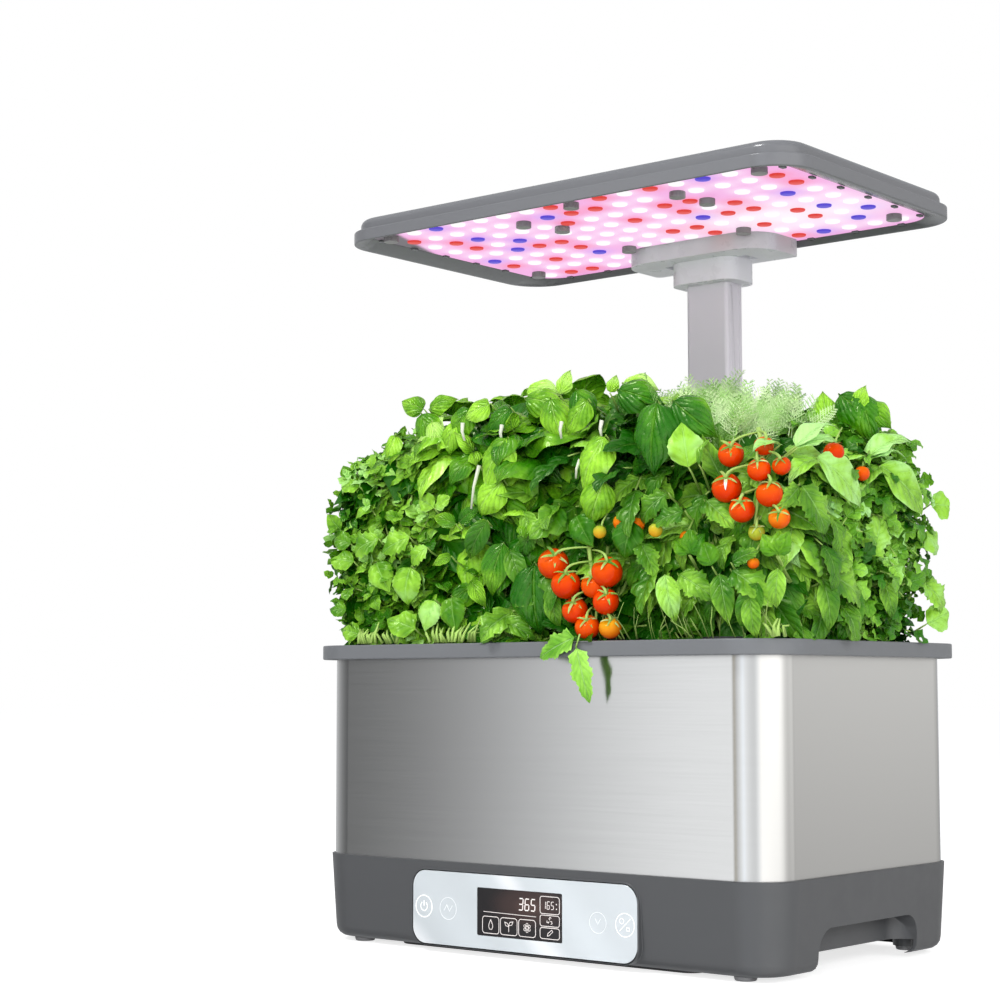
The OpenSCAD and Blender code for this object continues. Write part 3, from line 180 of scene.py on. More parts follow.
def refined(name, node, body, slot, finish, width=0.0, segments=2, keep=None):
    """A copy of a CAD node, with its sharp edges rounded, which takes the node's place."""
    piece = nodes[node].copy()
    piece.data = nodes[node].data.copy()
    bpy.context.scene.collection.objects.link(piece)
    for key in [k for k in piece.keys() if k.startswith("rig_")]:
        del piece[key]
    piece.parent = None
    named(piece, name)
    edit(piece)
    bpy.ops.mesh.remove_doubles(threshold=0.00001)
    bpy.ops.mesh.customdata_custom_splitnormals_clear()
    bpy.ops.mesh.dissolve_limited(angle_limit=math.radians(0.4))
    rest_mode()
    if width:
        weights = piece.data.attributes.new("bevel_weight_edge", "FLOAT", "EDGE")
        bm = bmesh.new()
        bm.from_mesh(piece.data)
        marked = []
        for e in bm.edges:
            turned = e.is_manifold and math.degrees(e.calc_face_angle(0.0)) > SHARP
            middle = (e.verts[0].co + e.verts[1].co) / 2
            wanted = turned and e.calc_length() > SHORTEST_EDGE and (keep is None or keep(middle))
            marked.append(1.0 if wanted else 0.0)
        bm.free()
        weights.data.foreach_set("value", marked)
        press(piece, "BEVEL", width=width, segments=segments, limit_method="WEIGHT",
              use_clamp_overlap=False, miter_outer="MITER_ARC", loop_slide=True)
        press(piece, "WEIGHTED_NORMAL", keep_sharp=True, weight=60)
    choose(piece)
    bpy.ops.object.shade_smooth_by_angle(angle=math.radians(38))
    if width:
        press(piece, "WEIGHTED_NORMAL", keep_sharp=True, weight=60)
    dress(piece, finish)
    mount(piece, body, slot, node)


# ---------- finishes ----------

class Graph:
    """Short ways to add and join the nodes of one shader tree."""

    def __init__(self, tree):
        self.tree = tree

    def add(self, kind, **settings):
        """A new node."""
        node = self.tree.nodes.new(kind)
        for key, value in settings.items():
            setattr(node, key, value)
        return node

    def feed(self, socket, value):
        """Joins another node's output to the socket, or sets the socket's own value."""
        if isinstance(value, bpy.types.NodeSocket):
            self.tree.links.new(value, socket)
        else:
            socket.default_value = value

    def place(self, stretch=(1, 1, 1), turn=(0, 0, 0), source="Object"):
        """Coordinates, stretched and turned."""
        node = self.add("ShaderNodeMapping")
        self.feed(node.inputs["Vector"], self.add("ShaderNodeTexCoord").outputs[source])
        node.inputs["Scale"].default_value = stretch
        node.inputs["Rotation"].default_value = turn
        return node.outputs[0]

    def noise(self, scale, detail=3.0, rough=0.5, stretch=(1, 1, 1), turn=(0, 0, 0)):
        """Cloudy noise from 0 to 1."""
        node = self.add("ShaderNodeTexNoise")
        self.feed(node.inputs["Vector"], self.place(stretch, turn))
        for key, value in (("Scale", scale), ("Detail", detail), ("Roughness", rough)):
            node.inputs[key].default_value = value
        return node.outputs["Fac"]

    def math(self, operation, a, b=0.0, c=0.0):
        """One sum."""
        node = self.add("ShaderNodeMath", operation=operation)
        for socket, value in zip(node.inputs, (a, b, c)):
            self.feed(socket, value)
        return node.outputs[0]

    def span(self, value, low, high, to_low=0.0, to_high=1.0, smooth=True):
        """The value, carried over from one range to another and kept inside it."""
        node = self.add("ShaderNodeMapRange", interpolation_type="SMOOTHSTEP" if smooth else "LINEAR")
        for socket, v in zip(node.inputs, (value, low, high, to_low, to_high)):
            self.feed(socket, v)
        return node.outputs[0]

    def ramp(self, value, stops, ease="LINEAR"):
        """The colour at the value, from stops that each have a place and a colour."""
        node = self.add("ShaderNodeValToRGB")
        node.color_ramp.interpolation = ease
        marks = node.color_ramp.elements
        while len(marks) < len(stops):
            marks.new(0.5)
        for mark, (at, colour) in zip(marks, stops):
            mark.position = at
            mark.color = (*colour[:3], 1)
        self.feed(node.inputs[0], value)
        return node.outputs[0]

    def mix(self, share, a, b):
        """Two colours mixed."""
        node = self.add("ShaderNodeMix", data_type="RGBA", blend_type="MIX")
        self.feed(node.inputs[0], share)
        for socket, value in ((node.inputs[6], a), (node.inputs[7], b)):
            self.feed(socket, value if isinstance(value, bpy.types.NodeSocket) else (*value[:3], 1))
        return node.outputs[2]

    def split(self, vector):
        """A vector's three parts."""
        node = self.add("ShaderNodeSeparateXYZ")
        self.feed(node.inputs[0], vector)
        return node.outputs

    def attribute(self, name, output="Fac"):
        """A value that the mesh carries."""
        return self.add("ShaderNodeAttribute", attribute_name=name).outputs[output]


class Finish(Graph):
    """A material put together node by node round one Principled shader."""

    def __init__(self, name, colour, roughness, **sockets):
        self.material = bpy.data.materials.new(name)
        self.material.use_nodes = True
        super().__init__(self.material.node_tree)
        self.shader = next(n for n in self.tree.nodes if n.type == "BSDF_PRINCIPLED")
        self.shader.inputs["Base Color"].default_value = (*colour[:3], 1)
        self.shader.inputs["Roughness"].default_value = roughness
        for key, value in sockets.items():
            socket = self.shader.inputs[key.replace("_", " ").title().replace("Ior", "IOR")]
            socket.default_value = (*value, 1) if isinstance(value, tuple) else value
        self.material.diffuse_color = (*colour[:3], 1)

    def set(self, socket, value):
        """Feeds one of the shader's sockets."""
        self.feed(self.shader.inputs[socket], value)

    def bump(self, height, distance, strength=1.0):
        """Raises the surface by the height, up to the distance."""
        node = self.add("ShaderNodeBump")
        self.feed(node.inputs["Height"], height)
        node.inputs["Distance"].default_value = distance
        node.inputs["Strength"].default_value = strength
        self.set("Normal", node.outputs[0])


def shade(colour, by):
    """The colour, lighter or darker."""
    return tuple(min(1.0, c * by) for c in colour[:3])


def moulded(name, colour, roughness=0.42, grain=360, depth=0.000012, drift=0.03, wear=0.06, **sockets):
    """Moulded plastic: spark-eroded grain, slight colour drift, and edges polished by handling."""
    f = Finish(name, colour, roughness, **sockets)
    cloud = f.noise(9, 4, 0.6)
    f.set("Base Color", f.ramp(cloud, ((0.25, shade(colour, 1 - drift)), (0.75, shade(colour, 1 + drift)))))
    worn = f.noise(60, 3, 0.6)
    f.set("Roughness", f.span(worn, 0.2, 0.8, roughness - wear, roughness + wear))
    f.bump(f.noise(grain, 1, 0.5), depth, 0.25)
    return f.material


def rubber(name, colour, roughness=0.75):
    """Rubber or soft vinyl: dusty, with a fine pebble."""
    f = Finish(name, colour, roughness, specular_ior_level=0.3)
    dust = f.noise(220, 4, 0.65)
    f.set("Base Color", f.ramp(dust, ((0.35, shade(colour, 0.85)), (0.8, shade(colour, 1.35)))))
    f.bump(f.noise(2200, 2, 0.7), 0.00005, 0.5)
    return f.material


def turned_metal(name, colour, roughness=0.3):
    """Screws, pins and springs: bright metal with drawn lines and a little tarnish."""
    f = Finish(name, colour, roughness, metallic=1.0)
    tarnish = f.noise(160, 4, 0.6)
    f.set("Base Color", f.ramp(tarnish, ((0.3, shade(colour, 0.8)), (0.7, shade(colour, 1.08)))))
    f.set("Roughness", f.span(f.noise(900, 2, 0.5, (1, 1, 6)), 0.3, 0.7, roughness - 0.08, roughness + 0.1))
    return f.material


def circuit(name, colour):
    """Circuit board: solder mask with copper runs showing through and pale pads."""
    f = Finish(name, colour, 0.35)
    runs = f.add("ShaderNodeTexBrick", offset=0.3, squash=0.6)
    f.feed(runs.inputs["Vector"], f.place((1, 1, 1), (math.radians(90), 0, 0)))
    runs.inputs["Scale"].default_value = 60
    runs.inputs["Mortar Size"].default_value = 0.03
    runs.inputs["Color1"].default_value = (*shade(colour, 0.9), 1)
    runs.inputs["Color2"].default_value = (*shade(colour, 1.15), 1)
    runs.inputs["Mortar"].default_value = (*shade(colour, 2.2), 1)
    f.set("Base Color", runs.outputs[0])
    f.bump(runs.outputs["Fac"], 0.00005, 0.4)
    return f.material


def clear_part(name, colour, roughness=0.12):
    """Clear moulded plastic or silicone with a milky drift."""
    f = Finish(name, colour, roughness, transmission_weight=0.85, ior=1.45)
    f.set("Base Color", f.ramp(f.noise(80, 3, 0.5), ((0.3, shade(colour, 0.92)), (0.7, shade(colour, 1.08)))))
    f.bump(f.noise(500, 2, 0.5), 0.00004, 0.3)
    return f.material


def sponge(name, colour):
    """Growing sponge: open pores and damp brown patches."""
    f = Finish(name, colour, 0.9, specular_ior_level=0.15)
    pores = f.add("ShaderNodeTexVoronoi", feature="F1")
    f.feed(pores.inputs["Vector"], f.place())
    pores.inputs["Scale"].default_value = 700
    f.set("Base Color", f.mix(f.noise(40, 3, 0.6), shade(colour, 0.7), shade(colour, 2.2)))
    f.bump(pores.outputs["Distance"], 0.0006, 0.9)
    return f.material


def brushed_steel(name, colour):
    """The sleeve: fine brush lines round the planter, so reflections blur up and down, not across."""
    f = Finish(name, colour, 0.24, metallic=1.0, anisotropic=0.85, anisotropic_rotation=0.25)
    f.set("Tangent", f.add("ShaderNodeTangent", direction_type="RADIAL", axis="Z").outputs[0])
    lines = f.noise(1, 2, 0.7, (14, 14, 5200))
    broad = f.noise(1, 3, 0.6, (4, 4, 420))
    tone = f.math("MULTIPLY_ADD", broad, 0.5, f.math("MULTIPLY", lines, 0.5))
    steel = f.ramp(tone, ((0.3, shade(colour, 0.985)), (0.7, shade(colour, 1.015))))
    z = f.split(f.place())["Z"]
    across = f.split(f.place(source="Normal"))["X"]
    # Painted reflection: the two ends painted lighter than the front, and darker low down
    at_end = f.span(f.math("ABSOLUTE", across), 0.5, 1.0)
    low_down = f.span(z, 0.060, 0.190, 1.0, 0.0, False)
    lit = f.mix(at_end, steel, shade(colour, 1.12))
    f.set("Base Color", f.mix(f.math("MULTIPLY", at_end, low_down), lit, shade(colour, 0.84)))
    f.set("Roughness", f.span(lines, 0.25, 0.75, 0.19, 0.25))
    f.bump(lines, 0.000004, 0.15)
    return f.material


def fascia_gloss(name, colour):
    """Silvered glossy fascia: slanting soft bands of light and dark over a clear top coat."""
    f = Finish(name, colour, 0.16, coat_weight=0.6, coat_roughness=0.05, metallic=0.15)
    x, y, z = f.split(f.place())
    slant = f.math("MULTIPLY_ADD", z, 0.9, x)
    reflection_band = f.span(f.math("MULTIPLY_ADD", f.noise(14, 1, 0.4, (1, 0.1, 0.3), (0, 0.6, 0)), 0.05, slant),
                  -0.1, 0.125, smooth=False)
    # Painted reflections: each stop gives a band's brightness, and the white stops are painted highlights
    tones = ((0.0, 0.86), (0.10, 0.98), (0.16, None), (0.24, 0.86), (0.36, 0.92), (0.50, 0.87), (0.62, 0.92),
             (0.70, None), (0.78, 0.88), (0.88, 0.92), (1.0, 0.84))
    white = (0.90, 0.93, 0.96)
    f.set("Base Color", f.ramp(reflection_band, [(at, shade(colour, by) if by else white) for at, by in tones], "EASE"))
    return f.material


def window_glass(name):
    """Dark display window with a warm glow low in the glass behind it."""
    deep = (0.010, 0.008, 0.009)
    f = Finish(name, deep, 0.14, coat_weight=0.25, coat_roughness=0.08, specular_ior_level=0.35)
    x, y, z = f.split(f.place())
    across = f.math("MULTIPLY", f.math("SUBTRACT", x, 0.006), 26)
    up = f.math("MULTIPLY", f.math("SUBTRACT", z, 0.036), 62)
    away = f.math("SQRT", f.math("ADD", f.math("MULTIPLY", across, across), f.math("MULTIPLY", up, up)))
    glow = ((0.0, (0.085, 0.046, 0.038)), (0.45, (0.040, 0.022, 0.020)), (1.0, deep))
    f.set("Base Color", f.ramp(away, glow, "EASE"))
    f.bump(f.noise(300, 2, 0.5), 0.00001, 0.2)
    return f.material


def lit_mark(name, colour, strength):
    """Printed or lit marks, a little uneven across their width."""
    f = Finish(name, colour, 0.4, emission_strength=strength)
    f.set("Base Color", f.ramp(f.noise(900, 2, 0.6), ((0.3, shade(colour, 0.88)), (0.7, colour))))
    f.set("Emission Color", f.ramp(f.noise(600, 2, 0.6), ((0.3, shade(colour, 0.9)), (0.7, colour))))
    return f.material


def leaf_finish(name, colour, ribs, sweep, shine, blister, pale, gloss=0.3):
    """A living leaf: midrib, side veins, blistered flesh between them, and a tone that changes by leaf."""
    deep = (colour[0] * 0.08, colour[1] * 0.36, colour[2] * 0.12)
    middle = (colour[0] * 0.32, colour[1] * 0.60, colour[2] * 0.3)
    bright = (min(0.8, colour[0] * pale * 1.25 + 0.02), min(0.85, colour[1] * pale * 0.95),
              colour[2] * 3 + 0.02)
    young = (min(0.8, bright[0] * 1.5), min(0.9, bright[1] * 1.3), bright[2] * 3.0 + 0.10)
    f = Finish(name, colour, shine, specular_ior_level=gloss, specular_tint=(0.85, 1.0, 0.55))
    # u runs from stalk to tip, side from the midrib to the edge
    u, v, w = f.split(f.place(source="UV"))
    side = f.math("ABSOLUTE", f.math("MULTIPLY_ADD", v, 2.0, -1.0))
    swept = f.math("MULTIPLY", side, ribs * 0.36 * sweep)
    between = f.math("PINGPONG", f.math("SUBTRACT", f.math("MULTIPLY", u, float(ribs)), swept), 0.5)
    faded = f.span(f.noise(70, 2, 0.5), 0.35, 0.65, 0.1, 0.65)
    vein = f.math("MULTIPLY", f.span(between, 0.0, 0.10, 1.0, 0.0), faded)
    midrib = f.span(side, 0.02, 0.09, 1.0, 0.0)
    lines = f.math("MAXIMUM", vein, midrib)
    mottle = f.math("MULTIPLY_ADD", f.math("SUBTRACT", f.noise(38, 2, 0.5), 0.5), 1.5,
                    f.math("MULTIPLY", f.math("SUBTRACT", f.noise(160, 3, 0.6), 0.5), 0.45))
    # Painted highlight: the puffed flesh between the veins is painted lighter
    puff_highlight = f.math("MULTIPLY", f.math("SUBTRACT", between, 0.2), 0.14)
    edge = f.math("MULTIPLY_ADD", f.span(side, 0.7, 1.0), 0.10, f.math("MULTIPLY_ADD", u, 0.12, -0.08))
    age = f.attribute("tone")
    tone = f.math("ADD", f.math("ADD", mottle, age), f.math("ADD", puff_highlight, edge))
    body = f.ramp(f.math("MULTIPLY", tone, 0.8), ((0.0, deep), (0.20, middle), (0.42, colour),
                                                  (0.70, bright), (0.97, young)))
    rib = f.mix(f.span(age, 0.1, 0.8), shade(colour, 0.9), young)
    f.set("Base Color", f.mix(f.math("MULTIPLY", lines, 0.34), body, rib))
    f.set("Roughness", f.span(f.noise(320, 2, 0.5), 0.3, 0.7, shine - 0.10, shine + 0.12))
    puff = f.math("SUBTRACT", f.math("MULTIPLY", f.math("POWER", between, 0.6), 1.2), midrib)
    f.bump(f.math("MULTIPLY_ADD", f.noise(420, 2, 0.6), 0.35, puff), blister, 1.0)
    return f.material


def feather_finish(name, colour):
    """Dill fronds: deep green threads that turn pale towards the light."""
    f = Finish(name, colour, 0.5, specular_ior_level=0.2)
    drift = f.math("MULTIPLY", f.math("SUBTRACT", f.noise(60, 3, 0.6), 0.5), 1.4)
    f.set("Base Color", f.ramp(f.math("ADD", drift, f.attribute("tone")), (
        (0.1, shade(colour, 0.3)), (0.5, colour), (0.9, (0.74, 0.93, 0.52)))))
    f.bump(f.noise(700, 2, 0.6), 0.00005, 0.4)
    return f.material


def stem_finish(name, colour):
    """Stalks and stems: pale green with long streaks."""
    f = Finish(name, colour, 0.45, specular_ior_level=0.4)
    streak = f.noise(120, 3, 0.6, (1, 1, 0.15))
    tone = f.math("MULTIPLY_ADD", f.attribute("tone"), 0.7, f.math("MULTIPLY", streak, 0.3))
    f.set("Base Color", f.ramp(tone, ((0.1, shade(colour, 0.3)), (0.5, colour), (0.9, shade(colour, 1.5)))))
    f.bump(streak, 0.0001, 0.4)
    return f.material


def fruit_finish(name, colour):
    """Cherry tomato skin: taut and glossy, ripening from yellow-green through orange to red."""
    f = Finish(name, colour, 0.22, coat_weight=0.12, coat_roughness=0.04, specular_ior_level=0.2,
               specular_tint=(1.0, 0.5, 0.2), coat_tint=(1.0, 0.9, 0.8))
    v = f.split(f.place(source="UV"))["Y"]
    # Each fruit's own tone, redder and darker towards the bottom where v is low; the darkening there is
    # painted shade
    shoulder_and_shade = f.math("MULTIPLY_ADD", v, -0.32, f.math("ADD", f.attribute("tone"), 0.07))
    ripe = f.math("MULTIPLY_ADD", f.noise(60, 3, 0.5), 0.16, shoulder_and_shade)
    skin = f.ramp(ripe, ((0.0, (0.42, 0.50, 0.04)), (0.25, (0.80, 0.36, 0.01)), (0.5, (0.86, 0.13, 0.003)),
                         (0.78, colour), (1.0, shade(colour, 0.5))))
    specks = f.span(f.noise(900, 2, 0.6), 0.62, 0.75)
    f.set("Base Color", f.mix(f.math("MULTIPLY", specks, 0.12), skin, (0.9, 0.42, 0.05)))
    f.bump(f.noise(45, 2, 0.4), 0.0004, 0.2)
    return f.material


# ---------- planter, mast and lamp housings ----------

def finish_inner_parts(sizes, colours):
    """Finishes for the CAD nodes that show as they are."""
    metal = turned_metal("screw_steel", (0.55, 0.55, 0.56))
    black = moulded("pump_black", (0.02, 0.02, 0.023), 0.35)
    lead = rubber("lead_rubber", (0.025, 0.025, 0.027))
    socket = moulded("socket_black", (0.02, 0.02, 0.022), 0.22)
    green = circuit("circuit_green", (0.03, 0.11, 0.06))
    finishes = {
        "housing_screws": metal, "hub_screws": metal, "fill_lid_pin": metal,
        "touch_springs": turned_metal("spring_brass", (0.6, 0.5, 0.25), 0.25),
        "control_board": green, "touch_board": green,
        "display_module": moulded("display_body", (0.05, 0.06, 0.055), 0.5),
        "ribbon_cable": moulded("ribbon_grey", (0.55, 0.53, 0.48), 0.45, 300, 0.0001),
        "power_socket": socket, "lead_socket": socket,
        "power_lead": lead, "pump_lead": lead, "lamp_lead": lead, "pump_grommet": lead,
        "water_tank": moulded("tank_plastic", (0.05, 0.052, 0.056), 0.5),
        "float_guide": clear_part("gauge_clear", (0.7, 0.75, 0.77)),
        "float": moulded("float_red", (0.65, 0.08, 0.04), 0.2),
        "pump_body": black, "pump_cover": black,
        "pump_impeller": moulded("impeller_white", (0.8, 0.8, 0.77), 0.4),
        "pump_shaft": moulded("shaft_ceramic", (0.85, 0.84, 0.8), 0.15),
        "pump_suction_cups": clear_part("cup_clear", (0.6, 0.63, 0.64), 0.25),
        "pump_hose": clear_part("hose_clear", (0.6, 0.65, 0.66)),
        "mast_glides": moulded("glide_nylon", (0.78, 0.78, 0.74), 0.4),
        "grow_sponges": sponge("sponge_brown", (0.03, 0.02, 0.012)),
        "grow_baskets": moulded("basket_black", (0.03, 0.03, 0.033), 0.5),
    }
    for name, finish in finishes.items():
        dress(nodes[name], finish)


def build_planter(sizes, colours):
    """Base, bottom cover, feet, sleeve, spine, grow deck and lid."""
    edge = sizes.edge_round
    base = moulded("base_plastic", colours.base, 0.4)
    rim = moulded("rim_plastic", colours.rim, 0.38)
    refined("base_shell", "base_housing", "planter", "base_plastic", base, edge,
            keep=lambda m: m.z > 0.06 or abs(m.x) > 0.17 or m.y < -0.112 or m.y > 0.112)
    refined("bottom_pan", "bottom_cover", "planter", "cover_plastic",
            moulded("cover_plastic", (0.03, 0.03, 0.032), 0.55), edge, 1)
    refined("rubber_feet", "feet", "planter", "foot_rubber",
            rubber("foot_rubber", (0.25, 0.25, 0.26), 0.6), 0.0006)
    refined("steel_wrap", "steel_sleeve", "planter", "sleeve_steel",
            brushed_steel("sleeve_steel", colours.steel), sizes.sheet_edge, 1)
    refined("back_spine", "rear_spine", "planter", "rim_plastic", rim, edge)
    refined("deck_rim", "grow_deck", "planter", "rim_plastic", rim, 0.0009, 3,
            keep=lambda m: m.z > 0.2065 or m.z < 0.199)
    refined("water_lid", "fill_lid", "fill_lid", "rim_plastic", rim, 0.0004)


def build_mast(sizes, colours):
    """Outer mast, collar, sliding mast and the hub under the lamp."""
    edge = sizes.edge_round
    refined("mast_sheath", "mast_outer", "planter", "mast_outer_plastic",
            moulded("mast_outer_plastic", shade(colours.mast, 1.18), 0.36), edge)
    refined("mast_ring", "mast_collar", "planter", "collar_plastic",
            moulded("collar_plastic", shade(colours.mast, 0.78), 0.36), 0.0008, 3)
    refined("mast_slider", "mast_inner", "lamp", "mast_plastic",
            moulded("mast_plastic", colours.mast, 0.34), edge)
    plastic = moulded("hub_plastic", colours.hub, 0.3)
    refined("lamp_hub", "hub_bracket", "lamp", "hub_plastic", plastic)
    build_hub_caps(plastic)


def set_out(name, form, places, heading, finish, body, slot):
    """Copies of a form at the given places, joined into one piece."""
    batch = Batch()
    for place, along in zip(places, heading):
        batch.place(form, place, along, (0, 0, 1), 1.0, 0.5)
    piece = batch.done(name)
    dress(piece, finish)
    settle(piece)
    mount(piece, body, slot)


def build_hub_caps(plastic):
    """Caps that close the screw recesses under the hub's plate."""
    radius, thickness, gap = 0.00322, 0.0010, 0.0001
    from_side, from_front, from_back = 0.017, 0.010, 0.009
    low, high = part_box("hub_bracket")
    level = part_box("hub_screws")[0].z - thickness / 2 - gap
    rest_mode()
    bpy.ops.mesh.primitive_cylinder_add(vertices=32, radius=radius, depth=thickness)
    cap = bpy.context.object
    press(cap, "BEVEL", width=0.0001, segments=1)
    places = [(x, y, level) for x in (low.x + from_side, high.x - from_side)
              for y in (low.y + from_front, high.y - from_back)]
    set_out("hub_caps", taken(cap), places, [(1, 0, 0)] * len(places), plastic, "lamp", "hub_plastic")


def build_lamp_housing(sizes, colours):
    """Lamp bezel and top cover, the pegs under the board and the clips along its edge."""
    grey = moulded("lamp_grey", colours.lamp, 0.20, depth=0.000003, drift=0.012, wear=0.012)
    refined("lamp_frame", "lamp_bezel", "lamp", "lamp_grey", grey, 0.0009, 3)
    refined("lamp_top", "lamp_cover", "lamp", "lamp_grey", grey, 0.0009, 3)
    refined("lamp_pegs", "board_standoffs", "lamp", "standoff_grey",
            moulded("standoff_grey", (0.36, 0.34, 0.36), 0.4), 0.0005, 2)
    build_board_clips(grey)


def build_board_clips(grey):
    """Clips that hold the board along the bezel's inner edge, none of them at the hub."""
    wide, deep, thick = 0.0034, 0.0052, 0.0016
    in_x, in_y, hub_half = 0.0212, 0.0054, 0.07
    # Each row's distance from both corners, and its pitch
    end_start, end_stop, end_pitch = 0.026, 0.02, 0.036
    side_start, side_stop, side_pitch = 0.045, 0.04, 0.0377
    low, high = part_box("lamp_bezel")
    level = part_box("led_board")[0].z - 0.0009
    rest_mode()
    bpy.ops.mesh.primitive_cube_add(size=1)
    clip = bpy.context.object
    clip.scale = (wide, deep, thick)
    bpy.ops.object.transform_apply(scale=True)
    press(clip, "BEVEL", width=0.0004, segments=2)
    ends = [(x, y, level) for x in (low.x + in_x, high.x - in_x)
            for y in np.arange(low.y + end_start, high.y - end_stop, end_pitch)]
    sides = [(x, y, level) for y in (low.y + in_y, high.y - in_y)
             for x in np.arange(low.x + side_start, high.x - side_stop, side_pitch)
             if y < 0 or abs(x) > hub_half]
    heading = [(1, 0, 0)] * len(ends) + [(0, 1, 0)] * len(sides)
    set_out("bezel_clips", taken(clip), ends + sides, heading, grey, "lamp", "lamp_grey")


# ---------- marks on the fascia ----------

class Marks:
    """Flat marks on an upright face, drawn in x and z as strokes and filled shapes, in millimetres."""

    def __init__(self):
        self.bm = bmesh.new()

    def stroke(self, path, width, closed=False):
        """A line of even width along a path."""
        points = [Vector((x, z)) for x, z in path]
        count = len(points)
        edges = []
        for i, p in enumerate(points):
            before = points[i - 1] if i or closed else None
            after = points[(i + 1) % count] if i < count - 1 or closed else None
            legs = [(b - a).normalized() for a, b in ((before, p), (p, after)) if a and b]
            along = sum(legs, Vector((0, 0))).normalized()
            reach = width / 2 / max(0.4, along.dot(legs[-1]))
            out = Vector((-along.y, along.x)) * reach
            edges.append([self.bm.verts.new((q.x * MM, 0, q.y * MM)) for q in (p + out, p - out)])
        for i in range(count if closed else count - 1):
            a, b = edges[i], edges[(i + 1) % count]
            self.bm.faces.new((a[0], b[0], b[1], a[1]))

    def fill(self, outline):
        """A filled shape."""
        self.bm.faces.new([self.bm.verts.new((x * MM, 0, z * MM)) for x, z in outline])

    def done(self, name, y, depth, finish, slot):
        """Raises the marks by the depth from the face at y."""
        mesh = bpy.data.meshes.new(name)
        for face in self.bm.faces:
            if face.normal.y == 0:
                face.normal_update()
            if face.normal.y > 0:
                face.normal_flip()
        self.bm.to_mesh(mesh)
        self.bm.free()
        piece = bpy.data.objects.new(name, mesh)
        bpy.context.scene.collection.objects.link(piece)
        piece.location.y = y - depth
        press(piece, "SOLIDIFY", thickness=depth * 1.5, offset=-1)
        settle(piece)
        dress(piece, finish)
        mount(piece, "planter", slot)


def ring(x, z, radius, steps=40, start=0.0, sweep=360.0):
    """Points on a circle or an arc, clockwise from the top."""
    count = steps if sweep >= 360 else steps + 1
    return [(x + radius * math.sin(math.radians(start + sweep * i / steps)),
             z + radius * math.cos(math.radians(start + sweep * i / steps))) for i in range(count)]


def rounded(x0, z0, x1, z1, radius):
    """Points round a rectangle with rounded corners."""
    corners = ((x1 - radius, z1 - radius, 0), (x1 - radius, z0 + radius, 90),
               (x0 + radius, z0 + radius, 180), (x0 + radius, z1 - radius, 270))
    return [p for x, z, start in corners for p in ring(x, z, radius, 4, start, 90)]


def digit(marks, number, x, z, wide, high, width):
    """One seven-segment digit with its lower left corner at x, z."""
    lit = {"0": "abcdef", "1": "bc", "2": "abged", "3": "abgcd", "4": "fgbc", "5": "afgcd", "6": "afgedc",
           "7": "abc", "8": "abcdefg", "9": "abcdfg"}[number]
    lean, gap = 0.08, width * 0.35
    ends = {"a": ((0, 1), (1, 1)), "b": ((1, 1), (1, .5)), "c": ((1, .5), (1, 0)), "d": ((0, 0), (1, 0)),
            "e": ((0, 0), (0, .5)), "f": ((0, .5), (0, 1)), "g": ((0, .5), (1, .5))}
    for segment in lit:
        (u0, v0), (u1, v1) = ends[segment]
        a = Vector((x + u0 * wide + v0 * high * lean, z + v0 * high))
        b = Vector((x + u1 * wide + v1 * high * lean, z + v1 * high))
        step = (b - a).normalized() * gap
        marks.stroke([a + step, b - step], width)


def display_figures(depth):
    """Lit figures and boxes on the display."""
    lit = Marks()
    for i, number in enumerate("365"):
        digit(lit, number, -3.2 + i * 5.1, 33.2, 3.3, 7.4, 0.75)
    lit.stroke([(-33.4, 30.2), (11.4, 29.6)], 0.35)
    for x0 in (-34.2, -18.7, -3.2):
        lit.stroke(rounded(x0, 16.2, x0 + 14.2, 27.2, 2.0), 0.42, True)
    for z0, z1 in ((32.2, 43.2), (24.2, 31.2), (16.2, 23.2)):
        lit.stroke(rounded(14.8, z0, 30.8, z1, 1.6), 0.42, True)
    for number, x in zip("165", (17.2, 20.5, 23.8)):
        digit(lit, number, x, 35.2, 2.0, 4.8, 0.42)
    for z in (35.6, 38.6):
        lit.fill(ring(28.4, z, 0.45, 10))
    # Water drop, sprout and flower in the three lower boxes
    lit.stroke([(-27.1, 25.2), (-28.6, 22.2), (-28.9, 20.6), (-28.1, 18.9), (-26.1, 18.9), (-25.3, 20.6),
                (-25.6, 22.2)], 0.4, True)
    lit.stroke([(-11.6, 18.2), (-11.6, 22.4)], 0.4)
    lit.stroke([(-11.6, 21.6), (-14.2, 22.2), (-15.0, 24.4), (-12.6, 23.8)], 0.4, True)
    lit.stroke([(-11.6, 22.4), (-9.0, 22.8), (-8.0, 25.0), (-10.6, 24.6)], 0.4, True)
    lit.stroke(ring(3.9, 22.0, 1.0, 12), 0.35, True)
    for x, z in ring(3.9, 22.0, 2.2, 6):
        lit.stroke(ring(x, z, 0.85, 10), 0.3, True)
    # Fan and pen in the two small boxes
    for i in range(3):
        blade = [(22.8 + r * math.sin(i * 2.094 + t), 27.7 + r * math.cos(i * 2.094 + t))
                 for r, t in ((0.5, 0), (1.6, -0.35), (2.5, 0.1), (2.2, 0.6))]
        lit.stroke(blade, 0.42)
    lit.stroke([(20.8, 18.0), (21.2, 19.6), (24.4, 22.0), (25.4, 21.0), (22.4, 18.4)], 0.4, True)
    lit.done("display_figures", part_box("display_window")[0].y, depth,
             lit_mark("display_lit", (0.86, 0.80, 0.78), 0.28), "ribbon_grey")


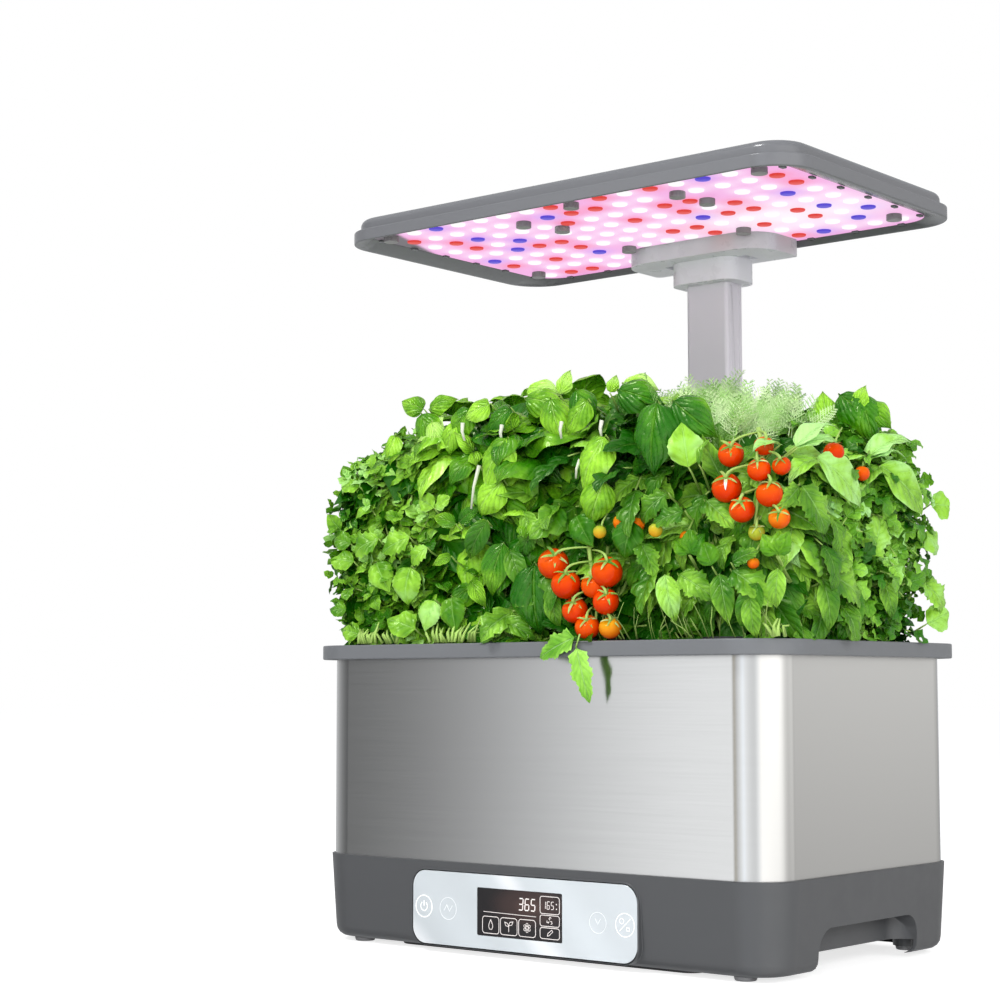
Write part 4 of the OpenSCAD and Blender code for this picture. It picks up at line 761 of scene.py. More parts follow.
def touch_marks(depth):
    """Key rings and signs on the fascia, two of them bright and two faint."""
    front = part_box("control_fascia")[0].y
    keys = Marks()
    keys.stroke(ring(-86.4, 30.2, 7.3), 0.75, True)
    keys.stroke(ring(-86.4, 30.2, 3.0, 24, 35, 290), 0.75)
    keys.stroke([(-86.4, 30.4), (-86.4, 34.2)], 0.75)
    keys.stroke(ring(83.2, 29.4, 7.3), 0.6, True)
    keys.stroke([(79.0, 25.6), (87.4, 33.4)], 0.5)
    keys.stroke(ring(80.6, 31.8, 1.7, 16), 0.45, True)
    keys.stroke([(84.4, 27.9), (86.6, 27.9), (86.6, 25.9), (84.4, 25.9)], 0.45, True)
    keys.done("touch_marks", front, depth, lit_mark("mark_white", (0.97, 0.97, 0.97), 0.25), "ribbon_grey")
    faint = Marks()
    faint.stroke(ring(-64.6, 30.0, 7.3), 0.5, True)
    faint.stroke([(-68.4, 28.4), (-65.8, 32.4), (-63.4, 28.2), (-60.8, 32.2)], 0.5)
    faint.stroke(ring(61.8, 29.4, 6.6), 0.5, True)
    faint.stroke([(59.6, 32.0), (61.8, 28.6), (64.0, 32.0)], 0.5)
    faint.done("faint_marks", front, depth, lit_mark("mark_faint", (0.90, 0.93, 0.96), 0.05), "fascia_gloss")


def build_fascia(sizes, colours):
    """Glossy fascia, display window, and the marks on both."""
    edge = 0.0003
    refined("fascia_plate", "control_fascia", "planter", "fascia_gloss",
            fascia_gloss("fascia_gloss", colours.fascia), edge)
    refined("display_glass", "display_window", "planter", "window_gloss", window_glass("window_gloss"), edge)
    display_figures(sizes.mark_depth)
    touch_marks(sizes.mark_depth)


# ---------- LED board ----------

def led_places(node):
    """Centres of the lenses in a node, from the clusters of its mesh."""
    mesh = bmesh.new()
    mesh.from_mesh(nodes[node].data)
    bmesh.ops.remove_doubles(mesh, verts=mesh.verts, dist=0.00001)
    places, seen = [], set()
    for start in mesh.verts:
        if start in seen:
            continue
        island, reach = [], [start]
        while reach:
            v = reach.pop()
            if v in seen:
                continue
            seen.add(v)
            island.append(v.co.copy())
            reach.extend(e.other_vert(v) for e in v.link_edges)
        places.append(tuple((min(c[i] for c in island) + max(c[i] for c in island)) / 2 for i in range(2)))
    mesh.free()
    return places


def lens_form(crown):
    """One low LED lens on the origin, face down."""
    radius, sunk = 0.0053, 0.0007
    low, high = (Vector(c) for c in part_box("led_lenses_white"))
    low.z += sunk
    rest_mode()
    bpy.ops.mesh.primitive_cylinder_add(vertices=20, radius=radius, depth=high.z - low.z,
                                        location=(0, 0, (low.z + high.z) / 2))
    lens = bpy.context.object
    bpy.ops.object.transform_apply(location=True)
    edit(lens)
    bpy.ops.mesh.select_all(action="DESELECT")
    mesh = bmesh.from_edit_mesh(lens.data)
    for e in mesh.edges:
        e.select_set(all(v.co.z < low.z + 0.0001 for v in e.verts))
    bmesh.update_edit_mesh(lens.data)
    bpy.ops.mesh.bevel(offset=crown, segments=2)
    rest_mode()
    return taken(lens)


# Lens colour, strength, the painted glow that a lens spills on the board, and how far it spreads
LENSES = {
    "white": ((1.0, 0.98, 1.0), 1.0, (1.0, 0.85, 1.0), 0.0068),
    "red": ((0.78, 0.055, 0.045), 0.95, (0.95, 0.26, 0.42), 0.0075),
    "blue": ((0.10, 0.065, 0.66), 0.95, (0.62, 0.40, 0.95), 0.0075),
}


def build_lenses(kind, places, form):
    """All lenses of one colour."""
    colour, strength = LENSES[kind][:2]
    batch = Batch()
    batch.place(form, [(x, y, 0.0) for x, y in places], (1, 0, 0), (0, 0, 1), 1.0, 0.5)
    piece = batch.done("led_domes_" + kind)
    f = Finish("led_" + kind, colour, 0.35, specular_ior_level=0.2, emission_strength=strength)
    dark, dim = shade(colour, 0.05), shade(colour, 0.1)
    f.set("Base Color", f.ramp(f.noise(500, 2, 0.5), ((0.3, dark), (0.7, dim))))
    f.set("Emission Color", f.ramp(f.noise(300, 2, 0.5), ((0.3, shade(colour, 0.93)), (0.7, colour))))
    dress(piece, f.material)
    settle(piece)
    mount(piece, "lamp", "led_" + kind, "led_lenses_" + kind)


def board_form(step):
    """The LED board as a fine grid, so that it can carry a colour at every point."""
    low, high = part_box("led_board")
    across, along = high.x - low.x, high.y - low.y
    radius = 0.0278
    rest_mode()
    bpy.ops.mesh.primitive_grid_add(x_subdivisions=int(across / step), y_subdivisions=int(along / step),
                                    size=1)
    board = named(bpy.context.object, "led_panel")
    for v in board.data.vertices:
        x, y = v.co.x * across, v.co.y * along
        inner = Vector((max(-across / 2 + radius, min(across / 2 - radius, x)),
                        max(-along / 2 + radius, min(along / 2 - radius, y))))
        off = Vector((x, y)) - inner
        if off.x and off.y:
            off = off.normalized() * max(abs(off.x), abs(off.y))
        v.co = (inner.x + off.x, inner.y + off.y + (low.y + high.y) / 2, low.z)
    edit(board)
    bpy.ops.mesh.normals_make_consistent(inside=False)
    rest_mode()
    press(board, "SOLIDIFY", thickness=high.z - low.z,
          offset=1 if board.data.polygons[0].normal.z < 0 else -1)
    if min(v.co.z for v in board.data.vertices) < low.z - 0.0002:
        for v in board.data.vertices:
            v.co.z += high.z - low.z
    return board


def blended(light, colour, share):
    """Rows of colours, each moved towards one colour by its own share."""
    return light * (1 - share[:, None]) + np.array(colour) * share[:, None]


def painted_board_glow(at, spots):
    """The colour of the lit board at each point: spill round the lenses, glare, and a dark margin."""
    pink, pale, dark = (0.88, 0.41, 0.76), (1.0, 0.93, 0.98), (0.11, 0.105, 0.115)
    x, y = at[:, 0], at[:, 1]
    light = np.tile(pink, (len(at), 1))
    for spot_x, spot_y, glow, reach in spots:
        near = np.exp(-((x - spot_x) ** 2 + (y - spot_y) ** 2) / (2 * reach ** 2))
        light = blended(light, glow, near * 0.75)
    painted_glare = 0.85 * np.exp(-(((x - 0.10) / 0.085) ** 2 + ((y - 0.055) / 0.045) ** 2))
    light = blended(light, pale, painted_glare)
    shade_margin = np.clip((-0.151 - 0.37 * (y + 0.076) - x) / 0.003, 0, 1)
    return np.clip(blended(light, dark, shade_margin), 0, 1)


def build_leds(sizes, colours):
    """The lit LED board and its three kinds of lens."""
    form = lens_form(sizes.lens_crown)
    spots = []
    for kind in LENSES:
        glow, reach = LENSES[kind][2:]
        places = led_places("led_lenses_" + kind)
        spots += [(x, y, glow, reach) for x, y in places]
        build_lenses(kind, places, form)
    board = board_form(sizes.glow_step)
    at = np.array([v.co[:2] for v in board.data.vertices])
    light = np.hstack([painted_board_glow(at, spots), np.ones((len(at), 1))])
    glow = board.data.color_attributes.new("glow", "FLOAT_COLOR", "POINT")
    glow.data.foreach_set("color", light.ravel())
    # The board is no lamp: its emission is the painted glow of the lenses' spill
    f = Finish("board_white", colours.board, 0.4, emission_strength=0.95, specular_ior_level=0.2)
    f.set("Emission Color", f.attribute("glow", "Color"))
    f.set("Base Color", f.mix(f.noise(220, 3, 0.5), shade(colours.board, 0.08), shade(colours.board, 0.12)))
    dress(board, f.material)
    settle(board)
    board.visible_diffuse = False
    mount(board, "lamp", "board_white", "led_board")


def build_lead(sizes, colours):
    """The curly lead inside the mast, which stretches between the socket and the lamp."""
    steps_a_turn, straight_end = 14, 0.004
    widening = 14  # the coil widens over a fourteenth of its length at each end
    low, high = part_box("curly_lead")
    centre = (low + high) / 2
    wire, turns = sizes.lead_wire, sizes.lead_turns
    wind = (high.x - low.x) / 2 - wire
    steps = turns * steps_a_turn
    rest_mode()
    curve = bpy.data.curves.new("coil_path", "CURVE")
    curve.dimensions = "3D"
    spline = curve.splines.new("POLY")
    spline.points.add(steps)
    for i, point in enumerate(spline.points):
        t = i / steps
        reach = wind * min(1.0, widening * t, widening * (1 - t))
        angle = 2 * math.pi * turns * t
        point.co = (centre.x + reach * math.cos(angle), centre.y + reach * math.sin(angle),
                    low.z + t * (high.z - low.z), 1)
    curve.bevel_depth = wire
    curve.bevel_resolution = 2
    curve.use_fill_caps = True
    lead = bpy.data.objects.new("mast_coil", curve)
    bpy.context.scene.collection.objects.link(lead)
    choose(lead)
    bpy.ops.object.convert(target="MESH")
    lead = named(bpy.context.object, "mast_coil")
    settle(lead, 60)
    dress(lead, bpy.data.materials["lead_rubber"])
    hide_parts("curly_lead")
    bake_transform(lead)


# ---------- plants ----------

DECK = 0.208  # level of the grow deck's top face
LEAF_FLOOR = DECK + 0.7 * MM
# Where leaves stop, left and right, in front and behind, and how softly
ROOM_SIDE, ROOM_FRONT, ROOM_BACK, ROOM_GIVE = 0.202, 0.1235, 0.080, 0.010
# Material numbers in a plant and in the fruit
STEM, PALE, CALYX = 1, 2, 2
UP = np.array([0.0, 0.0, 1.0])
FULL_TURN = 6.28


class Form:
    """A small mesh to copy: points, faces and a UV for each point."""

    def __init__(self, points, faces, uvs):
        self.points = np.asarray(points, dtype=float)
        self.faces = [tuple(f) for f in faces]
        self.uvs = np.asarray(uvs, dtype=float)


def taken(obj, uvs=None):
    """Takes obj's mesh as a form and removes obj."""
    mesh = obj.data
    points = [v.co[:] for v in mesh.vertices]
    faces = [tuple(p.vertices) for p in mesh.polygons]
    form = Form(points, faces, uvs if uvs is not None else [(0.5, 0.5)] * len(points))
    bpy.data.objects.remove(obj)
    bpy.data.meshes.remove(mesh)
    return form


def unit(vectors):
    """The vectors at length 1."""
    return vectors / np.maximum(np.linalg.norm(vectors, axis=-1, keepdims=True), 1e-9)


class Batch:
    """Many placed copies of small forms in one mesh, with a tone for each copy."""

    def __init__(self):
        self.points, self.faces, self.uvs, self.tones, self.kinds = [], [], [], [], []
        self.count = 0

    def place(self, form, origin, along, up, size, tone, kind=0):
        """Adds copies of a form, each with its X along one direction and its Z leaning towards another."""
        origin = np.atleast_2d(np.asarray(origin, dtype=float))
        many = len(origin)
        x = unit(np.broadcast_to(np.asarray(along, dtype=float), (many, 3)))
        z = np.broadcast_to(np.asarray(up, dtype=float), (many, 3))
        z = unit(z - (z * x).sum(1, keepdims=True) * x)
        axes = np.stack([x, np.cross(z, x), z], axis=1)
        size = np.broadcast_to(np.asarray(size, dtype=float), (many,))
        tone = np.broadcast_to(np.asarray(tone, dtype=float), (many,))
        placed = np.einsum("nk,mkj->mnj", form.points, axes) * size[:, None, None] + origin[:, None, :]
        n = len(form.points)
        self.points.append(placed.reshape(-1, 3))
        self.uvs.append(np.tile(form.uvs, (many, 1)))
        self.tones.append(np.repeat(tone, n))
        for i in range(many):
            start = self.count + i * n
            self.faces.extend(tuple(start + k for k in f) for f in form.faces)
        self.kinds.extend([kind] * (len(form.faces) * many))
        self.count += n * many

    def tube(self, path, radius, tone, kind=STEM, sides=5):
        """A stalk along a path of points, tapering to half its radius, closed at both ends."""
        path = np.asarray(path, dtype=float)
        heading = unit(np.gradient(path, axis=0))
        side = unit(np.cross(heading, np.array([0.31, 0.83, 0.46])))
        other = np.cross(heading, side)
        turn = np.arange(sides) * 2 * math.pi / sides
        thick = radius * np.linspace(1, 0.5, len(path))
        out = side[:, None, :] * np.cos(turn)[None, :, None] + other[:, None, :] * np.sin(turn)[None, :, None]
        rings = path[:, None, :] + thick[:, None, None] * out
        start = self.count
        self.points.append(rings.reshape(-1, 3))
        along = np.repeat(np.linspace(0, 1, len(path)), sides)
        self.uvs.append(np.stack([along, np.tile(turn / 6.29, len(path))], 1))
        self.tones.append(np.full(len(path) * sides, tone))
        for i in range(len(path) - 1):
            for j in range(sides):
                a, b = start + i * sides + j, start + i * sides + (j + 1) % sides
                self.faces.append((a, b, b + sides, a + sides))
        last = start + (len(path) - 1) * sides
        self.faces.append(tuple(start + j for j in reversed(range(sides))))
        self.faces.append(tuple(last + j for j in range(sides)))
        self.kinds.extend([kind] * ((len(path) - 1) * sides + 2))
        self.count += len(path) * sides

    def hold(self, top):
        """Bends whatever strays back over the rim and under the top level."""
        def ease(value, limit, give=ROOM_GIVE):
            return np.minimum(value, limit) + give * np.tanh(np.maximum(value - limit, 0) / give)
        for p in self.points:
            p[:, 2] = -ease(-ease(p[:, 2], top - 0.004, 0.012), -LEAF_FLOOR, 0.0015)
            p[:, 1] = -ease(-ease(p[:, 1], ROOM_BACK), ROOM_FRONT)
            p[:, 0] = -ease(-ease(p[:, 0], ROOM_SIDE), ROOM_SIDE)

    def done(self, name):
        """Makes one object of all the copies."""
        mesh = bpy.data.meshes.new(name)
        points = np.concatenate(self.points)
        mesh.from_pydata(points.tolist(), [], self.faces)
        mesh.update()
        uvs = np.concatenate(self.uvs)
        corner = np.empty(len(mesh.loops), dtype=int)
        mesh.loops.foreach_get("vertex_index", corner)
        mesh.uv_layers.new(name="UVMap").uv.foreach_set("vector", uvs[corner].ravel())
        mesh.attributes.new("tone", "FLOAT", "POINT").data.foreach_set("value", np.concatenate(self.tones))
        mesh.polygons.foreach_set("material_index", self.kinds)
        piece = bpy.data.objects.new(name, mesh)
        bpy.context.scene.collection.objects.link(piece)
        choose(piece)
        bpy.ops.object.shade_smooth()
        return piece


def leaf_form(along, across, width, teeth=0.0, fold=0.3, bend=0.6, wave=0.0, curl=0.0, stalk=0.0, quilt=0.0,
              ribs=5, sweep=0.8, twist=0.0):
    """One leaf a unit long from its stalk at the origin along +X, upper face up, puffed between its ribs."""
    rest_mode()
    bpy.ops.mesh.primitive_grid_add(x_subdivisions=along, y_subdivisions=across, size=2)
    leaf = bpy.context.object
    uvs = []
    for v in leaf.data.vertices:
        u, side = (v.co.x + 1) / 2, v.co.y
        uvs.append((u, (side + 1) / 2))
        half = 0.012 if u < stalk else width(u)
        if abs(side) > 0.99 and teeth and u >= stalk:
            half *= 1 + teeth * (1 if round(u * along) % 2 else -1)
        y = side * half
        run = ribs * (u - 0.36 * sweep * abs(side))
        swell = abs(math.sin(math.pi * run)) ** 0.7 * (1 - abs(side) ** 5) * min(1.0, 3 * abs(side))
        ripple = math.sin(u * 14 + (2.1 if side > 0 else 0.4)) * abs(side) ** 1.5 * min(1, 3 * half)
        lift = fold * abs(y) - curl * (abs(side) ** 2.4) * half + quilt * half * swell + wave * ripple
        roll = twist * u
        y, lift = y * math.cos(roll) - lift * math.sin(roll), y * math.sin(roll) + lift * math.cos(roll)
        flesh = max(0.0, u - stalk) / (1 - stalk)
        turn = bend * (0.25 * u + 0.75 * flesh * flesh)
        reach = math.sin(turn) / turn if abs(turn) > 0.01 else 1.0
        sink = (1 - math.cos(turn)) / turn if abs(turn) > 0.01 else 0.0
        forward = u * reach + lift * math.sin(turn) + 0.22 * abs(y) * teeth
        v.co = (forward, y, -u * sink + lift * math.cos(turn))
    return taken(leaf, uvs)


def ovate(wide, point=1.0, base=0.75):
    """Half width of an egg-shaped leaf that ends in a point."""
    def width(u):
        return max(0.004, wide * math.sin(math.pi * min(1.0, u) ** base) ** 0.85 * (1 - u ** 6) ** point)
    return width


def lobed(wide, lobes, depth):
    """Half width of a leaf that is cut into lobes."""
    def width(u):
        cut = 1 - depth * (0.5 + 0.5 * math.cos(2 * math.pi * lobes * u)) if 0.12 < u < 0.96 else 0.6
        return max(0.004, wide * math.sin(math.pi * min(1.0, u) ** 0.72) ** 0.7 * cut)
    return width


def frond_form(rng):
    """One feathery dill frond a unit long: an axis, side branches and threads, all thin strips."""
    branches, threads = 10, 3
    points, faces, uvs = [], [], []

    def strip(a, b, wide):
        heading = unit(b - a)
        side = unit(np.cross(heading, np.array([0.1, 0.2, 1.0]))) * wide / 2
        start = len(points)
        points.extend([a - side, a + side, b + side * 0.4, b - side * 0.4])
        uvs.extend([(0.1, 0.1), (0.1, 0.9), (0.9, 0.9), (0.9, 0.1)])
        faces.append((start, start + 1, start + 2, start + 3))

    def axis(t):
        return np.array([t * 0.96, 0.0, -0.28 * t * t])

    for i in range(4):
        strip(axis(i / 4), axis((i + 1) / 4), 0.024 * (1.1 - i / 5))
    for i in range(branches):
        t = 0.2 + 0.78 * i / (branches - 1)
        for side in (-1, 1):
            length = 0.34 * (1.08 - 0.75 * t) * rng.uniform(0.85, 1.15)
            heading = unit(np.array([0.62, side * 0.8, rng.uniform(-0.1, 0.28)]))
            root = axis(t)
            strip(root, root + heading * length, 0.020)
            for k in range(threads):
                at = root + heading * length * (0.35 + 0.6 * k / threads)
                for turn in (-1, 1):
                    swing = unit(heading + np.array([0.45, turn * 0.8, rng.uniform(-0.3, 0.5)]))
                    strip(at, at + swing * length * 0.36, 0.018)
    return Form(points, faces, uvs)


# The bed of leaves: half length of its flat top, length of a falling end, and how far the ends fall
FLAT_HALF, END_RUN = 0.095, 0.11
FALL_LEFT, FALL_RIGHT, FALL_BEHIND = 0.034, 0.016, 0.020
# Its foot: level of its upper edge, height, and how far it draws in near the ends
FOOT_LEVEL, FOOT_HIGH, FOOT_IN = 0.245, 0.030, 0.013
TRIES = 14  # random points for each point that is kept


def spread(low, high, sides, rounding, count, rng, inset=0.008):
    """Even points on a plant's open skin, rounded where open sides meet, with their outward directions."""
    low, high = np.array(low[:]), np.array(high[:])
    low = low + [inset * ("-x" in sides), inset * ("-y" in sides) * 0.6, 0]
    high = high - [inset * ("+x" in sides), 0, 0.010]
    wide = high - low
    panels = [(2, high[2], wide[0] * wide[1])]
    for axis, letter in enumerate("xy"):
        panels += [(axis, edge[axis], wide[1 - axis] * wide[2]) for sign, edge in (("-", low), ("+", high))
                   if sign + letter in sides]
    total = count * TRIES
    share = np.array([area for axis, value, area in panels])
    pick = rng.choice(len(panels), total, p=share / share.sum())
    points = low + rng.random((total, 3)) * wide
    for k, (axis, value, area) in enumerate(panels):
        points[pick == k, axis] = value
    core = np.clip(points, low + rounding * np.array(["-x" in sides, "-y" in sides, False]),
                   high - rounding * np.array(["+x" in sides, "+y" in sides, True]))
    away = unit(points - core)
    points = outlined(core + away * rounding, low[2], high[2])
    chosen = [int(rng.integers(total))]
    gap = np.linalg.norm(points - points[chosen[0]], axis=1)
    for i in range(count - 1):
        chosen.append(int(np.argmax(gap)))
        gap = np.minimum(gap, np.linalg.norm(points - points[chosen[-1]], axis=1))
    return points[chosen], away[chosen]


def outlined(points, foot, top):
    """Points on the skin, lowered towards the bed's ends and drawn in at its foot."""
    ends = np.maximum(np.abs(points[:, 0]) - FLAT_HALF, 0) / END_RUN
    behind = np.clip((points[:, 1] + 0.10) / 0.18, 0, 1)
    fall = np.where(points[:, 0] > 0, FALL_RIGHT + FALL_BEHIND * behind, FALL_LEFT) * ends ** 1.6
    points[:, 2] -= fall * np.clip((points[:, 2] - foot) / (top - foot), 0, 1)
    low_down = np.clip((FOOT_LEVEL - points[:, 2]) / FOOT_HIGH, 0, 1)
    near_end = np.clip((np.abs(points[:, 0]) - 0.15) / 0.04, 0, 1)
    points[:, 0] -= np.sign(points[:, 0]) * FOOT_IN * (low_down * near_end)
    return points


def jitter(vectors, amount, rng):
    """The directions, each turned a little at random."""
    return unit(vectors + rng.normal(0, amount, vectors.shape))


def around(axis, angle):
    """Directions square to each axis, turned by each angle."""
    side = unit(np.cross(axis, np.array([0.23, 0.41, 0.88])))
    return side * np.cos(angle)[:, None] + np.cross(axis, side) * np.sin(angle)[:, None]


def any_way(axis, rng):
    """A random direction square to each axis."""
    return around(axis, rng.uniform(0, FULL_TURN, len(axis)))


def bowed(start, bow, end, count):
    """Points along a curve that a middle point pulls aside."""
    t = np.linspace(0, 1, count)[:, None]
    return (1 - t) ** 2 * start + 2 * t * (1 - t) * bow + t ** 2 * end


def patches(points):
    """Soft light and dark areas through a bed of plants, from -1 to 1."""
    x, y, z = (points * 1000).T
    return (np.sin(x / 13 + 1.3 * np.sin(z / 17)) + np.sin(z / 11 + y / 19 + 2 * np.sin(x / 29))) / 2


def shaded(points):
    """How much darker leaves are close to the deck."""
    return 0.4 * np.clip((0.240 - points[:, 2]) / 0.028, 0, 1)


# Outer and inner layer: share of the sprigs, least and greatest depth under the skin, change of tone, the
# inner layer's being painted shade
LAYERS = ((1.0, -0.004, 0.010, 0.06), (0.7, 0.012, 0.026, -0.32))


def pairs_on(batch, forms, tips, axes, rows, length, tone, rng, droop):
    """Opposite pairs of leaves down each sprig. A row is its leaves' distance back, size and opening."""
    spin = rng.uniform(0, math.pi, len(tips))
    for k, (back, size, opening) in enumerate(rows):
        for other in (0, 1):
            out = around(axes, spin + k * math.pi / 2 + other * math.pi + rng.normal(0, 0.18, len(tips)))
            heading = unit(axes * math.cos(opening) + out * math.sin(opening) - UP * droop * size)
            scale = length * size * rng.uniform(0.8, 1.2, len(tips))
            root = tips - axes * back * length
            shape = rng.integers(len(forms), size=len(tips))
            hue = tone + 0.10 * (k < 1) - 0.06 * k + rng.normal(0, 0.10, len(tips))
            face = jitter(axes + 0.35 * UP, 0.12, rng)
            for number, form in enumerate(forms):
                those = shape == number
                if those.any():
                    batch.place(form, root[those], heading[those], face[those], scale[those], hue[those])


def stems_to(batch, root, tips, axes, radius, rng):
    """Thin stems from the pod out to the sprigs, 60 or a few more where there are many sprigs."""
    for i in range(0, len(tips), max(1, len(tips) // 60)):
        start = np.array([*root, DECK + MM]) + np.array([*rng.uniform(-0.006, 0.006, 2), 0.0])
        end = tips[i] - axes[i] * 0.004
        bow = start + (end - start) * np.array([0.25, 0.25, 0.6]) + UP * 0.012
        batch.tube(bowed(start, bow, end, 7), radius, 0.6 + rng.normal(0, 0.12))


def shade_thicket(batch, form, low, high, sides, count, rng):
    """Dark leaves inside a plant, which close the gaps between its outer leaves."""
    size = 0.036
    points, away = spread(low, high, sides, 0.03, count, rng)
    depth = rng.uniform(0.018, 0.036, count)
    roots = points - away * depth[:, None]
    roots[:, 2] = np.maximum(roots[:, 2], DECK + 4 * MM)
    heading = any_way(away, rng) - UP * 0.3
    batch.place(form, roots, jitter(heading, 0.25, rng), jitter(away, 0.4, rng),
                size * rng.uniform(0.8, 1.2, count), rng.uniform(-0.3, 0.1, count))


# Kind of each plant, and its sides that face out of the bed
PLANTS = {
    "plant_mint_front": ("mint", "-x-y"), "plant_mint_mid": ("mint", "-x"),
    "plant_lettuce_back": ("lettuce", "-x+y"), "plant_basil_front": ("basil", "-y"),
    "plant_basil_mid": ("basil", ""), "plant_basil_back": ("basil", "+y"),
    "plant_tomato_front": ("tomato", "-y"), "plant_tomato_mid": ("tomato", ""),
    "plant_dill_back": ("dill", "+y"), "plant_tomato_right": ("trailing", "+x-y"),
    "plant_parsley_mid": ("parsley", "+x"), "plant_parsley_back": ("parsley", "+x+y"),
}
# How far leaves stay inside the low and high corners of their plant's solid, clear of the mast and the lamp
TRIMS = {
    "plant_dill_back": ((0, 0, 0), (0, 0, 0.024)), "plant_basil_back": ((0, 0, 0), (0.024, 0, 0)),
    "plant_basil_mid": ((0, 0, 0), (0, 0, 0.005)), "plant_tomato_mid": ((0.012, 0.020, 0), (0.022, 0, 0.018)),
}
# Centres of the baskets
BASKET_COLUMNS = (-0.141, -0.047, 0.047, 0.141)
BASKET_ROWS = (-0.082, -0.014, 0.054)


def plant_forms(rng):
    """Leaf shapes of every kind of plant, a few of each so that no two neighbours match."""
    mint = dict(teeth=0.03, fold=0.35, wave=0.05, curl=0.25, stalk=0.1, quilt=0.10, ribs=4)
    basil = dict(stalk=0.1, quilt=0.11, sweep=1.8)
    tomato = dict(teeth=0.12, wave=0.05, curl=0.15, stalk=0.06, quilt=0.12, ribs=6)
    trailing = dict(teeth=0.04, wave=0.05, curl=0.2, stalk=0.08, quilt=0.10, ribs=6)
    parsley = dict(teeth=0.10, fold=0.4, wave=0.12, curl=0.2, stalk=0.08, quilt=0.12, ribs=4)
    lettuce = dict(teeth=0.06, fold=0.2, wave=0.12, curl=0.2, stalk=0.05, quilt=0.12, ribs=6, sweep=0.9)
    return {
        "mint": [leaf_form(8, 4, w, bend=b, twist=t, **mint)
                 for w, b, t in ((ovate(0.42, 0.3, 0.8), 0.2, 0.2), (lobed(0.46, 2, 0.34), 0.7, -0.3),
                                 (ovate(0.36, 0.5, 0.8), 1.1, 0.1), (lobed(0.44, 2, 0.30), -0.5, 0.3))],
        "basil": [leaf_form(18, 8, ovate(0.33, 0.7, 0.72), bend=b, wave=w, curl=c, twist=t, **basil)
                  for b, w, c, t in ((0.5, 0.02, 0.5, 0.2), (0.9, 0.03, 0.7, -0.2), (1.3, 0.02, 0.9, 0.1),
                                     (0.7, 0.05, 0.3, -0.4))],
        "tomato": [leaf_form(12, 6, lobed(0.29, 3, 0.30), bend=b, twist=t, **tomato)
                   for b, t in ((0.4, 0.3), (0.8, -0.3), (1.2, 0.1))],
        "trailing": [leaf_form(12, 6, ovate(0.23, 0.6, 0.68), bend=b, twist=t, **trailing)
                     for b, t in ((0.3, 0.3), (0.7, -0.3), (1.1, 0.2))],
        "parsley": [leaf_form(8, 4, lobed(0.50, 2, 0.46), bend=b, twist=t, **parsley)
                    for b, t in ((0.1, 0.3), (0.6, -0.3), (1.0, 0.2))],
        "lettuce": [leaf_form(10, 6, ovate(0.52, 0.35, 0.6), bend=b, **lettuce) for b in (0.3, 0.8, 1.2)],
        "dill": [frond_form(rng) for i in range(3)],
        # The leaf for the inside of each plant, painted dark as shade
        "dark": [leaf_form(5, 4, ovate(0.40), teeth=0.05, bend=0.7, wave=0.03)],
    }


def grow_pairs(batch, kind, forms, low, high, sides, sizes, rng):
    """Herbs whose leaves stand in opposite pairs: mint, basil and lettuce."""
    front = "-y" in sides
    count, length, rows, lean, tone, droop = {
        "mint": (150 if front else 90, sizes.mint_leaf,
                 ((0.0, 0.45, 0.7), (0.25, 0.75, 1.0), (0.7, 1.0, 1.2), (1.3, 1.05, 1.35)), 0.55, 0.66, 0.15),
        "basil": (17 if front else 13, sizes.basil_leaf,
                  ((0.02, 0.34, 0.6), (0.08, 0.62, 0.95), (0.26, 0.92, 1.2), (0.5, 1.0, 1.4)), 0.7, 0.58,
                  0.4),
        "lettuce": (40, 0.034, ((0.0, 0.5, 0.5), (0.2, 0.8, 0.9), (0.5, 1.0, 1.2)), 0.7, 0.60, 0.2),
    }[kind]
    rounding, inset, patchy = (0.032, 0.008, 0.2) if kind == "basil" else (0.022, 0.013, 0.3)
    outer = None
    for share, near, far, dim in LAYERS:
        tips, away = spread(low, high, sides, rounding, int(count * share * sizes.leafage), rng, inset)
        tips = tips - away * (rng.uniform(near, far, len(tips)) + 0.12 * length)[:, None]
        axes = jitter(away + UP * lean, 0.24, rng)
        # Each layer's change of tone darkens the inner one as painted shade
        hue = tone + dim + patchy * patches(tips) + rng.normal(0, 0.17, len(tips))
        if kind == "basil" and front:
            # Small leaves low down, where the large ones would hang over the rim
            lower = tips[:, 2] < 0.292
            pairs_on(batch, forms, tips[lower], axes[lower], rows, length * 0.62, hue[lower] - 0.12, rng,
                     droop)
            tips, axes, hue = tips[~lower], axes[~lower], hue[~lower]
        pairs_on(batch, forms, tips, axes, rows, length, hue, rng, droop)
        outer = outer or (tips, axes)
    return outer


def compound(batch, forms, roots, heading, face, reach, leaflet, rng, tone, pairs, sag):
    """Compound leaves from their roots: leaflets in pairs along each drooping stalk and one at its end."""
    side = unit(np.cross(face, heading))
    for k in range(pairs + 1):
        last = k == pairs
        t = 1.0 if last else 0.35 + 0.55 * k / pairs
        at = roots + (heading * t - UP * sag * t * t) * reach
        run = unit(heading - UP * 2 * sag * t)
        size = leaflet * (1.15 if last else 0.62 + 0.38 * k / pairs)
        for turn in ((0,) if last else (-1, 1)):
            out = unit(run * (0.62 if turn else 1) + side * turn * 0.85 - UP * 0.12)
            batch.place(forms[(k + turn) % len(forms)], at, out, jitter(face + 0.2 * UP, 0.2, rng),
                        size * rng.uniform(0.85, 1.15, len(roots)), tone + rng.normal(0, 0.09, len(roots)))
    t = np.linspace(0, 1, 5)[:, None]
    for root, ahead in zip(roots, heading):
        batch.tube(root + (ahead * t - UP * sag * t * t) * reach, 0.0011, 0.6 + rng.normal(0, 0.1), sides=4)


